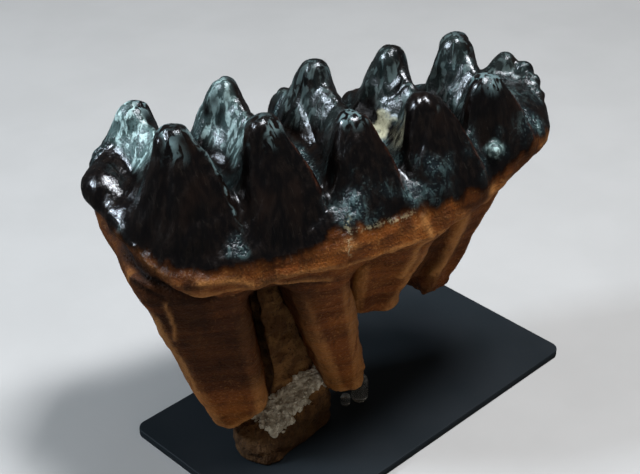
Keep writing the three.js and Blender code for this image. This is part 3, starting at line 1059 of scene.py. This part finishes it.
    # Raised root edges, with a painted highlight in tan along them.
    root_edge_highlights: tuple[Seam, ...] = (
        Seam(((-77, -35, 101), (-75, -33, 91), (-73.5, -31, 80)), 0.8, 0.8, Mask.TAN, 0.8),
        Seam(((24, -39.5, 116), (24, -32, 98), (23, -24, 80)), 1.6, 0.7, Mask.TAN),
        Seam(((58, -32, 116), (55, -8, 79), (51.5, -6, 68), (48.5, -5, 62)), 2.6, 0.8, Mask.TAN),
    )
    # The last spot, on the face of the fifth far cusp, is a painted bluish highlight.
    crust_and_glint_spots: tuple[tuple[float, float, float, float], ...] = (
        (-49, -41, 121.5, 5.5),
        (-4, -38, 127, 9),
        (25, -34, 128, 11),
        (55, -26, 131, 8),
        (58, 8, 146, 6),
    )
    spot_share: float = 0.85
    spot_waver: float = 0.6
    spot_ends: Pair = (1.3, 0.2)
    bead_ends: Pair = (1.7, 1.1)
    patch_centre: Triple = (27, 6, 133)
    patch_size: Triple = (8, 6, 5.5)
    patch_waver: Pair = (2.4, 4.5)
    patch_fray: float = 0.35
    patch_ends: Pair = (1.15, 0.75)
    patch_height: float = 0.9
    enamel_ends: Pair = (-4, 3)
    edge_waver: Swell = Swell(0.9, 9, 5)
    edge_teeth: Swell = Swell(2.0, (3, 3, 12), 20)
    cloud_size: float = 11.0
    crust_gap: Pair = (9, 1.5)
    crust_margin: Pair = (0, 5)
    crust_cloud: Pair = (-0.6, 0.2)
    valley: Zone = Zone(((Along.Z, 147, 134), (Along.Y, -27, -19)))
    shelf: Zone = Zone(((Along.X, 66, 72), (Along.OUT_Z, 0.6, 0.85), (Along.Y, -14, -6)), 0.25)
    bloom_way: Triple = (-1, -0.45, 0.3)
    bloom_turn: Pair = (0.15, 0.7)
    bloom_side: Pair = (-15, -3)
    bloom_rise: Pair = (0, 6)
    bloom_cloud: Pair = (-1.2, -0.3)
    bloom_along: tuple[Pair, ...] = (
        (-70, 1),
        (-50, 0.85),
        (-35, 0.5),
        (-15, 0.2),
        (5, 0.07),
        (30, 0.12),
    )
    bloom_foot: tuple[Pair, ...] = ((-80, 140), (-74, 134))
    tip_bend: Pair = (0.04, 0.25)
    tip_cloud: Pair = (-0.3, 0.4)
    tip_along: tuple[Pair, ...] = ((-50, 1), (-35, 0.3))
    tip_zone: Zone = Zone(((Along.Z, 150, 156),))
    near_tips: Zone = Zone(((Along.Y, 0, -8), (Along.X, -50, -35)), 0.5)
    # Painted shade on the roots: the front root darker under the enamel's overhang, and darker zones on the
    # front root and on a rear root.
    front_shade_x: Pair = (-60, -78)
    front_shade_lean: float = 0.3
    front_shade_z: float = 100.0
    front_shade: Zone = Zone(((Along.OUT_Y, 0.2, -0.3), (Along.Z, 82, 98)))
    root_shades: tuple[Zone, ...] = (
        Zone(((Along.X, -10, -25), (Along.Z, 40, 58), (Along.Z, 106, 98)), 0.85),
        Zone(((Along.X, 30, 38), (Along.X, 54, 48), (Along.Z, 98, 88), (Along.OUT_Y, 0.2, -0.3)), 0.75),
    )
    edge_stain: float = 0.8
    edge_stain_at: Pair = (-3, 5)
    edge_stain_ends: Pair = (-0.1, 0.5)
    crest_width: float = 0.7
    first_crest_share: float = 0.8
    crest_share: float = 0.5
    crest_zone: Zone = Zone(((Along.Z, 122, 134),))
    # Painted highlight in tan: the front root's flank turned to the front, lit warm, and convex root edges
    # on the near side.
    lit_flank: Zone = Zone(
        ((Along.OUT_X, -0.45, -0.75), (Along.Z, 98, 88), (Along.X, -40, -60), (Along.Y, -16, -27)), 0.6
    )
    highlight_side: Zone = Zone(((Along.Y, 6, -6),), 0.8)
    highlight_bend: Pair = (0.05, 0.3)
    bare_root: float = 0.04
    all_over: tuple[Swell, ...] = (Swell(0.55, 17, 1), Swell(0.3, 8, 2))
    on_enamel: tuple[Swell, ...] = (
        Swell(0.2, (2.8, 2.8, 15), 3),
        Swell(0.4, (6, 6, 30), 4),
        Swell(0.22, 4, 22),
    )
    bulge_height: float = 0.25
    bulge_ends: Pair = (14, 2)
    furrow_depth: float = 0.7
    furrow_width: float = 0.22
    furrow_size: Triple = (11, 11, 60)
    on_crust: tuple[Swell, ...] = (Swell(0.8, 3.4, 6), Swell(0.45, 2.2, 7))
    on_roots: tuple[Swell, ...] = (Swell(0.9, (9, 9, 60), 10), Swell(0.7, 15, 24), Swell(0.25, 3.2, 23))
    band_height: float = 0.15
    band_spacing: float = 6.2
    band_waver: Swell = Swell(2.2, 24, 8)
    band_ends: Pair = (-0.2, 0.5)
    pit_depth: float = 0.6
    pit_size: float = 3.4
    pit_ends: Pair = (0.55, 0.9)
    neck: Zone = Zone(((Along.Z, 88, 104),))
    on_neck: tuple[Swell, ...] = (Swell(0.35, (4, 4, 14), 18), Swell(0.3, (9, 9, 3.2), 19))
    rear_x: float = 8.0
    rear_ends: Zone = Zone(((Along.Z, 72, 56),))
    front_ends: Zone = Zone(((Along.Z, 36, 22),), 0.5)
    on_ends: tuple[Swell, ...] = (Swell(1.1, 5.5, 14), Swell(0.6, 2.6, 15))
    far_side: Zone = Zone(((Along.Y, -6, 6),))
    on_far_side: tuple[Swell, ...] = (Swell(1.5, (16, 16, 45), 25), Swell(0.8, 7, 26))
    worn_depth: float = 2.4
    worn_bend: Pair = (0.03, 0.3)
    bend_passes: int = 6
    seam_pull: float = 12.0
    seam_steps: int = 5
    seam_waver: Pair = (0.8, 7)
    cell: float = 1.1
    low: Triple = (-106, -57, 6)
    high: Triple = (108, 57, 174)

    def heel(self, p: Array) -> Array:
        """Distance to the heel with its tubercles."""
        d = ellipsoid(p, self.heel_centre, self.heel_size)
        for x, y, z, r in self.heel_tubercles:
            foot = (x - self.tubercle_back, y, z - self.tubercle_rise)
            bump = Cone(foot, (x, y, z - r), (r + self.tubercle_widening, r))
            d = blend(d, bump.distance(p), self.tubercle_fillet)
        return d

    def crown(self, p: Array) -> Array:
        """Distance to the crown: base, lophs, far pillars, heel, front ledge and small beads.

        Args:
            p: Points.

        Returns:
            Their distances, below 0 inside.
        """
        d = blend(*(c.distance(p) for c in self.crown_base), self.loph_fillet)
        for loph in self.lophs:
            d = blend(d, loph.distance(p), self.loph_fillet)
        lean = self.front_lean * np.maximum(self.front_top - p[..., 2], 0)
        bow = ((p[..., 1] - self.front_bow_y) / self.front_bow_reach) ** 2 * self.front_bow
        front = self.front_x + bow + lean - p[..., 0]
        d = -blend(-d, -front, self.front_round)
        for pillar in self.far_pillars:
            d = blend(d, ellipsoid(p, pillar, self.far_pillar_size), self.pillar_fillet)
        d = blend(d, self.heel(p), self.loph_fillet)
        for place, out in ((self.heel_edge, self.heel_under), (self.rear_corner, self.rear_corner_out)):
            d = -blend(-d, -(p - np.array(place)) @ np.array(out), self.front_round)
        for cone in self.front_ledge:
            d = blend(d, cone.distance(p), self.ledge_fillet)
        d = blend(d, ellipsoid(p, self.front_swell_centre, self.front_swell_size), self.swell_fillet)
        for x, y, z, r in self.valley_beads:
            d = blend(d, ellipsoid(p, (x, y, z), (r, r, r)), self.bead_fillet)
        return d

    def distance(self, p: Array) -> Array:
        """Distance to the whole tooth, its front root broken off at a slant."""
        broken = (p - np.array(self.break_at)) @ np.array(self.break_under)
        d = -blend(-self.roots[0].distance(p), -broken, self.roots[0].fillet)
        for root in self.roots[1:]:
            d = blend(d, root.distance(p), root.fillet)
        return blend(self.crown(p), d, self.neck_fillet)

    @cached_property
    def seams(self) -> tuple[Seam, ...]:
        """All lines on the tooth, each laid on its surface."""
        return tuple(map(self.laid, (*self.undercuts, *self.lips, self.fissure, *self.root_edge_highlights)))

    def laid(self, seam: Seam) -> Seam:
        """Adds points between a line's own and moves them all on to the tooth."""
        knots = np.array(seam.points)
        way = np.linspace(0, len(knots) - 1, self.seam_steps * (len(knots) - 1) + 1)
        spots = np.stack([np.interp(way, range(len(knots)), knots[:, i]) for i in range(3)], 1)
        flat = settle(self.distance, Surface(spots, np.zeros((0, 4), int)), self.seam_pull)
        return replace(seam, points=tuple(map(tuple, flat.points)))

    def traces(self, points: Array) -> list[tuple[Seam, Array]]:
        """Each line with its closeness to the points, drawn a little unsteadily."""
        wobbly = shaken(points, *self.seam_waver)
        return [(seam, seam.closeness(wobbly)) for seam in self.seams]

    def margin(self, points: Array) -> Array:
        """Height of each point over the lower edge of the enamel, in millimetres."""
        waver = self.edge_waver
        height = points[:, 2] - on_line(self.enamel_edge, points[:, 0])
        height -= waver.height * layered(points, waver.size, waver.seed)
        return height - swelling(points, self.edge_teeth)

    def crease(self, points: Array) -> Array:
        """Signed distance from the valley lines between neighbouring lophs."""
        ridges = [loph.distance(points) for loph in self.lophs] + [self.heel(points)]
        best = np.full(len(points), np.inf)
        for i in range(len(ridges) - 1):
            gap = (ridges[i] - ridges[i + 1]) * (-1) ** i
            best = np.where(np.abs(gap) < np.abs(best), gap, best)
        return best

    def crust(self, rows: Array, margin: Array, cloud: Array) -> Array:
        """Share of the grey crust with painted glints: in the valleys, in spots and on the shelf before the
        heel; the spot on the fifth far cusp is a painted highlight.

        Args:
            rows: Places and normals.
            margin: Heights over the enamel's lower edge.
            cloud: A broad noise.

        Returns:
            One share for each row.
        """
        p = rows[:, :3]
        share = smooth(*self.crust_gap, np.abs(self.crease(p))) * self.valley.at(rows)
        for *spot, reach in self.crust_and_glint_spots:
            gap = np.linalg.norm(p - np.array(spot), axis=1) / reach - self.spot_waver * layered(p, 6, 65)
            share = np.maximum(share, self.spot_share * smooth(*self.spot_ends, gap))
        share *= smooth(*self.crust_margin, margin) * smooth(*self.crust_cloud, cloud)
        return np.maximum(share, self.shelf.at(rows))

    def bloom_and_sheen(self, rows: Array, cloud: Array) -> Array:
        """Share of the pale bloom, partly painted reflection of the light: on faces turned to the front,
        less towards the heel, and on the beads.

        Args:
            rows: Places and normals.
            cloud: A broad noise.

        Returns:
            One share for each row.
        """
        p = rows[:, :3]
        x, y, z = p.T
        share = smooth(*self.bloom_turn, rows[:, 3:] @ np.array(self.bloom_way))
        share *= smooth(*self.bloom_side, y + 3 * cloud) * on_line(self.bloom_along, x)
        share *= smooth(*self.bloom_rise, z + 2 * cloud - on_line(self.bloom_foot, x))
        for *bead, reach in self.valley_beads:
            gap = np.linalg.norm(p - np.array(bead), axis=1) / reach
            share = np.maximum(share, smooth(*self.bead_ends, gap))
        return share * smooth(*self.bloom_cloud, cloud)

    def shade_and_stain(self, rows: Array, margin: Array) -> Array:
        """Share of darkening on the roots: painted shade at the front and on two roots, and real stain in
        patches under the enamel.

        Args:
            rows: Places and normals.
            margin: Heights over the enamel's lower edge.

        Returns:
            One share for each row.
        """
        p = rows[:, :3]
        leaning = p[:, 0] + self.front_shade_lean * (p[:, 2] - self.front_shade_z)
        share = smooth(*self.front_shade_x, leaning) * self.front_shade.at(rows)
        share += sum(zone.at(rows) for zone in self.root_shades)
        patchy = smooth(*self.edge_stain_ends, lumps(p, (7, 7, 5), 21))
        share += self.edge_stain * bump_at(*self.edge_stain_at, margin) * patchy
        return np.clip(share, 0, 1)

    def worn_and_glinting_tips(self, rows: Array, convex: Array, cloud: Array) -> Array:
        """Share of the pale tone on the cusps' tips, most on the first loph: partly wear, partly painted
        highlight.

        Args:
            rows: Places and normals.
            convex: How far each point stands over its neighbourhood.
            cloud: A broad noise.

        Returns:
            One share for each row.
        """
        share = smooth(*self.tip_bend, convex) * smooth(*self.tip_cloud, cloud) * self.tip_zone.at(rows)
        return share * (on_line(self.tip_along, rows[:, 0]) + self.near_tips.at(rows))

    def patch(self, p: Array) -> Array:
        """Share of the patch of pale sediment in each point."""
        gap = (shaken(p, *self.patch_waver) - np.array(self.patch_centre)) / np.array(self.patch_size)
        return smooth(*self.patch_ends, np.linalg.norm(gap, axis=1) + self.patch_fray * layered(p, 4, 64))

    def masks(self, surface: Surface, traces: list[tuple[Seam, Array]]) -> dict[Mask, Array]:
        """Works out where each layer of the finish lies.

        Args:
            surface: The smooth tooth.
            traces: The lines on it.

        Returns:
            One value for each point, by mask.
        """
        p, rows = surface.points, surface.rows()
        margin = self.margin(p)
        convex = -surface.hollowness(self.bend_passes)
        cloud = layered(p, self.cloud_size, 11)
        enamel = smooth(*self.enamel_ends, margin)
        shade_and_stain = self.shade_and_stain(rows, margin)
        masks = {
            Mask.ROOT: 1 - enamel,
            Mask.ENAMEL: enamel,
            Mask.SHADE: (1 - enamel) * shade_and_stain,
            Mask.CRUST_AND_GLINTS: self.crust(rows, margin, cloud),
            Mask.PATINA_AND_SHEEN: self.bloom_and_sheen(rows, cloud),
            Mask.WEAR_AND_GLINT: enamel * self.worn_and_glinting_tips(rows, convex, cloud),
            Mask.SEDIMENT: self.patch(p),
        }
        # Painted highlight in tan on the convex root edges of the near side and on the front root's flank
        # turned to the front.
        pale = smooth(*self.highlight_bend, convex) * (1 - enamel) * (1 - shade_and_stain) * self.highlight_side.at(rows)
        masks[Mask.TAN] = np.maximum(pale, self.lit_flank.at(rows))
        for tone in (Mask.WARM_RIM_REFLECTION, Mask.PALE, Mask.DARK):
            masks[tone] = np.zeros(len(p))
        for seam, close in traces:
            masks[seam.tone] = np.maximum(masks[seam.tone], seam.share * close)
        # Painted light on the near cusps' back edges: a pale glint on the first loph, a warm reflection on
        # the others.
        for loph in self.lophs:
            first = loph is self.lophs[0]
            tone, share = (Mask.WEAR_AND_GLINT, self.first_crest_share) if first else (Mask.WARM_RIM_REFLECTION, self.crest_share)
            crest = loph.crest(p, self.crest_width) * self.crest_zone.at(rows)
            masks[tone] = np.maximum(masks[tone], share * crest * enamel)
        return masks

    def relief(self, surface: Surface, masks: dict[Mask, Array], traces: list[tuple[Seam, Array]]) -> Array:
        """Height of the fine forms over the smooth tooth, in millimetres.

        Args:
            surface: The smooth tooth.
            masks: Where each layer of the finish lies.
            traces: The lines on the tooth.

        Returns:
            One height for each point, outwards.
        """
        p, rows = surface.points, surface.rows()
        enamel, root = masks[Mask.ENAMEL], masks[Mask.ROOT]
        height = swelling(p, *self.all_over)
        bulge = self.bulge_height * smooth(*self.bulge_ends, self.margin(p))
        furrow = smooth(self.furrow_width, 0, np.abs(lumps(p, self.furrow_size, 17)))
        height += enamel * (bulge + swelling(p, *self.on_enamel) - self.furrow_depth * furrow)
        height += masks[Mask.CRUST_AND_GLINTS] * swelling(p, *self.on_crust)
        wave = np.sin(2 * math.pi * (p[:, 2] + swelling(p, self.band_waver)) / self.band_spacing)
        bands = self.band_height * wave * smooth(*self.band_ends, lumps(p, 30, 9))
        pits = self.pit_depth * smooth(*self.pit_ends, lumps(p, self.pit_size, 12))
        height += root * (bands - pits + swelling(p, *self.on_roots))
        height += root * self.neck.at(rows) * swelling(p, *self.on_neck)
        ends = np.where(p[:, 0] > self.rear_x, self.rear_ends.at(rows), self.front_ends.at(rows))
        height += ends * swelling(p, *self.on_ends)
        worn = self.worn_depth * smooth(*self.worn_bend, -surface.hollowness(self.bend_passes))
        height += root * self.far_side.at(rows) * (swelling(p, *self.on_far_side) - worn)
        height += self.patch_height * masks[Mask.SEDIMENT] * (1 + 0.5 * lumps(p, 2.6, 16))
        for seam, close in traces:
            height += seam.height * close
        return height

    def build(self) -> bpy.types.Object:
        """Builds the tooth."""
        surface = polygonise(self.distance, self.low, self.high, self.cell)
        traces = self.traces(surface.points)
        masks = self.masks(surface, traces)
        height = self.relief(surface, masks, traces)
        raised = surface.points + surface.normals() * height[:, None]
        piece = add_mesh("molar_surface", PLACE.to_frame(raised), surface.quads, FOSSIL_TOOTH.material())
        piece.data.materials.append(STAINED_ROOT.material())
        bare = masks[Mask.ROOT][surface.quads].mean(1) > self.bare_root
        piece.data.polygons.foreach_set("material_index", bare.astype(np.int32))
        for mask, values in masks.items():
            add_mask(piece, mask, values)
        seat(piece, Slot.TOOTH, Node.MOLAR)
        return piece


@dataclass
class MatrixLump:
    """The sediment between the front roots, with loose crumbs set into its upper side."""

    tooth: Molar
    loaf: Block = Block((-22.5, -9.5, 50), (-23, -10.5, -10), (23.5, 11), (25, 12), 10.5, 0.52)
    top_at: Triple = (-24, -9, 27)
    top_out: Triple = (-0.19, -0.45, 0.873)
    fill: Block = Block((-22, 0, 80), (-22, -2, -6), (13, 8), (14, 10), 5, 0.2, 5)
    foot_z: float = 3.9
    clearance: float = 0.5
    top_round: float = 5.0
    broad: tuple[Swell, ...] = (Swell(0.9, 9, 51), Swell(0.6, 4, 52))
    slot_width: float = 4.5
    slot_rise: Pair = (20, 36)
    slot_side: Pair = (4, -3)
    crystal_zone: Zone = Zone(((Along.OUT_Z, 0.4, 0.7), (Along.Z, 11, 16), (Along.Z, 46, 38)))
    crystal_start: Pair = (-19, -12)
    crystal_patches: Pair = (-0.7, 0.0)
    fine: tuple[Swell, ...] = (Swell(0.6, 2.4, 53), Swell(0.5, 5, 56))
    grain: Swell = Swell(0.3, 1.7, 54)
    pit_depth: float = 0.9
    pit_ends: Pair = (0.3, 0.8)
    free_height: Pair = (0.2, 3)
    shade: Zone = Zone(((Along.Z, 26, 12),))
    cell: float = 0.8
    low: Triple = (-62, -46, -2)
    high: Triple = (22, 28, 100)
    crumb_count: int = 1900
    crumb_mm: Pair = (0.5, 2.0)
    crumb_width: Pair = (0.6, 1)
    crumb_height: Pair = (0.5, 0.9)
    crumb_jitter: float = 0.28
    crumb_lift: float = 0.2
    tooth_fillet: float = 1.0
    seed: int = 7

    def distance(self, p: Array) -> Array:
        """Distance to the lump, cut flat over the plate and kept clear of the tooth."""
        top = (p - np.array(self.top_at)) @ np.array(self.top_out)
        body = -blend(-self.loaf.distance(p), -top, self.top_round)
        body = blend(body, self.fill.distance(p), self.fill.fillet)
        body = body - swelling(p.reshape(-1, 3), *self.broad).reshape(body.shape)
        clear = -blend(-body, self.tooth.distance(p) - self.clearance, self.tooth_fillet)
        slot = self.slot_width * smooth(*self.slot_rise, p[..., 2]) * smooth(*self.slot_side, p[..., 1])
        clear = -blend(-clear, self.tooth.roots[0].distance(p) - slot, self.tooth_fillet)
        return np.maximum(clear, self.foot_z - p[..., 2])

    def upper_side(self, surface: Surface) -> Array:
        """Share of the pale crystals in each point: the loaf's upper side, in patches."""
        p = surface.points
        along = (p[:, :2] - self.loaf.top[:2]) @ (math.cos(self.loaf.turn), math.sin(self.loaf.turn))
        patches = smooth(*self.crystal_patches, layered(p, 9, 55)) * smooth(*self.crystal_start, along)
        return self.crystal_zone.at(surface.rows()) * patches

    def build(self) -> list[bpy.types.Object]:
        """Builds the lump and its crumbs."""
        surface = polygonise(self.distance, self.low, self.high, self.cell)
        p = surface.points
        crumbly = self.upper_side(surface)
        free = smooth(*self.free_height, p[:, 2] - self.foot_z)
        pits = self.pit_depth * smooth(*self.pit_ends, lumps(p, 4, 57))
        height = free * (swelling(p, *self.fine) + (1 + crumbly) * swelling(p, self.grain) - pits)
        raised = p + surface.normals() * height[:, None]
        body = add_mesh("matrix_body", PLACE.to_frame(raised), surface.quads, CEMENTED_SILT.material())
        add_mask(body, Mask.CRUMBLY, crumbly)
        add_mask(body, Mask.SHADE, self.shade.at(surface.rows()) * (1 - crumbly))
        seat(body, Slot.MATRIX, Node.MATRIX)
        return [body, self.crumbs(surface, crumbly)]

    def crumbs(self, surface: Surface, crumbly: Array) -> bpy.types.Object:
        """Scatters pale crumbs.

        Args:
            surface: The lump.
            crumbly: Share of crumbs in each of its points.

        Returns:
            All crumbs as one piece.
        """
        rng = np.random.default_rng(self.seed)
        p, n = surface.points, surface.normals()
        chosen = rng.choice(len(p), self.crumb_count, p=crumbly / crumbly.sum())
        form = bmesh.new()
        bmesh.ops.create_icosphere(form, subdivisions=1, radius=1.0)
        ball = np.array([v.co[:] for v in form.verts])
        faces = np.array([[v.index for v in f.verts] for f in form.faces])
        form.free()
        points, sides = [], []
        for k, i in enumerate(chosen):
            size = rng.uniform(*self.crumb_mm)
            sizes = size * np.array([1, rng.uniform(*self.crumb_width), rng.uniform(*self.crumb_height)])
            nudge = rng.uniform(-0.5, 0.5, 3) * self.cell
            jitter = 1 + rng.uniform(-self.crumb_jitter, self.crumb_jitter, (len(ball), 1))
            turn = np.array(Euler(rng.uniform(0, 2 * math.pi, 3)).to_matrix())
            points.append((ball * jitter * sizes) @ turn.T + p[i] + n[i] * self.crumb_lift + nudge)
            sides.append(faces + k * len(ball))
        spots = PLACE.to_frame(np.concatenate(points))
        piece = add_mesh("matrix_crumbs", spots, np.concatenate(sides), PALE_CRYSTALS.material())
        piece.data.polygons.foreach_set("use_smooth", np.zeros(len(piece.data.polygons), bool))
        seat(piece, Slot.MATRIX)
        return piece


@dataclass
class BasePlate:
    """The thin plate with rounded corners and eased edges."""

    length: float = 174.7
    width: float = 93.7
    thickness: float = 3.6
    corner: float = 5.0
    ease: float = 0.35
    corner_steps: int = 12

    def ring(self, inset: float, z: float) -> list[Triple]:
        """Points round the plate's outline, set in by a distance, at a height."""
        points = []
        r = self.corner - inset
        for quarter, (sx, sy) in enumerate(((1, -1), (1, 1), (-1, 1), (-1, -1))):
            cx = sx * (self.length / 2 - self.corner)
            cy = sy * (self.width / 2 - self.corner)
            for i in range(self.corner_steps + 1):
                a = math.pi / 2 * (quarter - 1 + i / self.corner_steps)
                points.append((cx + r * math.cos(a), cy + r * math.sin(a), z))
        return points

    def build(self) -> bpy.types.Object:
        """Builds the plate."""
        half = self.ease * (1 - math.sqrt(0.5))
        lower = [(self.ease, 0), (half, half), (0, self.ease)]
        upper = [(inset, self.thickness - z) for inset, z in reversed(lower)]
        rings = [self.ring(*level) for level in lower + upper]
        count = len(rings[0])
        faces = [list(range(count))[::-1], [(len(rings) - 1) * count + i for i in range(count)]]
        for level in range(len(rings) - 1):
            for i in range(count):
                a, b = level * count + i, level * count + (i + 1) % count
                faces.append([a, b, b + count, a + count])
        points = np.array([p for ring in rings for p in ring]) * MM
        piece = add_mesh("plate_sheet", points, faces, SATIN_BLACK.material())
        piece.data.polygons.foreach_set("use_smooth", [len(p.vertices) == 4 for p in piece.data.polygons])
        seat(piece, Slot.PLATE, Node.PLATE)
        return piece


@dataclass
class ClearPeg:
    """A clear round peg with a narrower foot and a domed head."""

    name: str
    node: Node
    at: Pair
    radius: float
    top: float
    foot_z: float = 3.9
    foot_share: float = 0.55
    foot_height: float = 0.75
    foot_turn: float = 1.57
    foot_steps: int = 8
    dome_height: float = 0.8
    dome_turn: float = 1.5
    dome_steps: int = 9
    sides: int = 48

    def build(self, finish: bpy.types.Material) -> bpy.types.Object:
        """Builds the peg.

        Args:
            finish: The clear material.

        Returns:
            The peg.
        """
        r = self.radius
        widen, dome_z = 1 - self.foot_share, self.top - self.dome_height * r
        rise = self.foot_height * r
        foot = [
            (r * (self.foot_share + widen * math.sin(a)), self.foot_z + rise * (1 - math.cos(a)))
            for a in np.linspace(0, self.foot_turn, self.foot_steps)
        ]
        dome = [
            (r * math.cos(a), dome_z + self.dome_height * r * math.sin(a))
            for a in np.linspace(0, self.dome_turn, self.dome_steps)
        ]
        profile = foot + dome
        points = [(self.at[0], self.at[1], self.foot_z)]
        for radius, z in profile:
            for i in range(self.sides):
                a = 2 * math.pi * i / self.sides
                points.append((self.at[0] + radius * math.cos(a), self.at[1] + radius * math.sin(a), z))
        points.append((self.at[0], self.at[1], self.top))
        faces: list[list[int]] = []
        last = len(points) - 1
        for i in range(self.sides):
            j = (i + 1) % self.sides
            faces.append([0, 1 + j, 1 + i])
            for level in range(len(profile) - 1):
                a = 1 + level * self.sides
                faces.append([a + i, a + j, a + j + self.sides, a + i + self.sides])
            a = 1 + (len(profile) - 1) * self.sides
            faces.append([a + i, a + j, last])
        piece = add_mesh(self.name, PLACE.to_frame(np.array(points)), faces, finish)
        seat(piece, Slot.ACRYLIC, self.node)
        return piece


@dataclass(frozen=True)
class Lamp:
    """A square soft light: its place and edge in metres, power in watts and colour."""

    name: str
    place: Triple
    edge: float
    watts: float
    colour: str
    mirrored: bool = True


@dataclass
class Studio:
    """Camera, floor and soft light."""

    camera_mm: Triple = (-361.3, -344.8, 401.0)
    heading: Pair = (0.7011, 0.713)
    pitch: float = math.radians(32.6)
    focal_px: float = 1429.8
    image_width: int = 640
    sensor_mm: float = 36.0
    floor_size: float = 6.0
    lamps: tuple[Lamp, ...] = (
        Lamp("overhead", (0.12, -0.22, 1.09), 0.25, 16.0, "#f2f7ff"),
        Lamp("side", (-0.78, 0.48, 0.75), 0.16, 11.0, "#e0efff"),
        Lamp("fill", (-0.3, -1.6, 1.0), 1.2, 3.0, "#fff0e0", False),
    )
    lit_point: Triple = (-0.01, 0.0, 0.09)
    surround: str = "#c9ced3"
    surround_strength: float = 0.1

    def camera(self) -> None:
        """Places the camera at the photograph's angle."""
        data = bpy.data.cameras.new("camera")
        data.sensor_width = self.sensor_mm
        data.lens = self.focal_px / self.image_width * self.sensor_mm
        data.clip_start = 0.01
        eye = bpy.data.objects.new("camera", data)
        eye.location = Vector(self.camera_mm) * MM
        flat = math.cos(self.pitch)
        aim = Vector((self.heading[0] * flat, self.heading[1] * flat, -math.sin(self.pitch)))
        eye.rotation_euler = aim.to_track_quat("-Z", "Y").to_euler()
        bpy.context.scene.collection.objects.link(eye)
        bpy.context.scene.camera = eye

    def floor(self) -> None:
        """Lays the plain pale floor, kept out of reflections so that it doesn't haze dark surfaces."""
        h = self.floor_size / 2
        corners = np.array([(-h, -h, 0), (h, -h, 0), (h, h, 0), (-h, h, 0)])
        board = add_mesh("floor", corners, [[0, 1, 2, 3]], PALE_BOARD.material())
        board.visible_glossy = False
        board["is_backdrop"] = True

    def lights(self) -> None:
        """Sets soft area lights and a dim even surround."""
        scene = bpy.context.scene
        for lamp in self.lamps:
            data = bpy.data.lights.new(lamp.name, "AREA")
            data.size = lamp.edge
            data.energy = lamp.watts
            data.color = linear(lamp.colour)[:3]
            light = bpy.data.objects.new(lamp.name, data)
            light.location = Vector(lamp.place)
            aim = Vector(self.lit_point) - light.location
            light.rotation_euler = aim.to_track_quat("-Z", "Y").to_euler()
            light.visible_glossy = lamp.mirrored
            scene.collection.objects.link(light)
        world = bpy.data.worlds.new("even_surround")
        world.use_nodes = True
        background = world.node_tree.nodes["Background"]
        background.inputs["Color"].default_value = linear(self.surround)
        background.inputs["Strength"].default_value = self.surround_strength
        scene.world = world
        scene.view_settings.view_transform = "Standard"


def write_sizes() -> None:
    """Works out the CAD box and the visual model's box; nothing is written."""
    boxes = {"cad": CAD_BOX, "visual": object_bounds()}
    {name: [list(corner) for corner in box] for name, box in boxes.items()}


def main() -> None:
    """Builds the scene."""
    logging.basicConfig(level=logging.INFO, format="%(message)s")
    studio = Studio()
    studio.camera()
    molar = Molar()
    molar.build()
    MatrixLump(molar).build()
    BasePlate().build()
    acrylic = CLEAR_ACRYLIC.material()
    ClearPeg("peg_tall", Node.PEG_TALL, (15, -3.6), 3.8, 17).build(acrylic)
    ClearPeg("peg_short", Node.PEG_SHORT, (8, -4.5), 2.2, 9.5).build(acrylic)
    studio.floor()
    studio.lights()
    write_sizes()


if __name__ == "__main__":
    main()
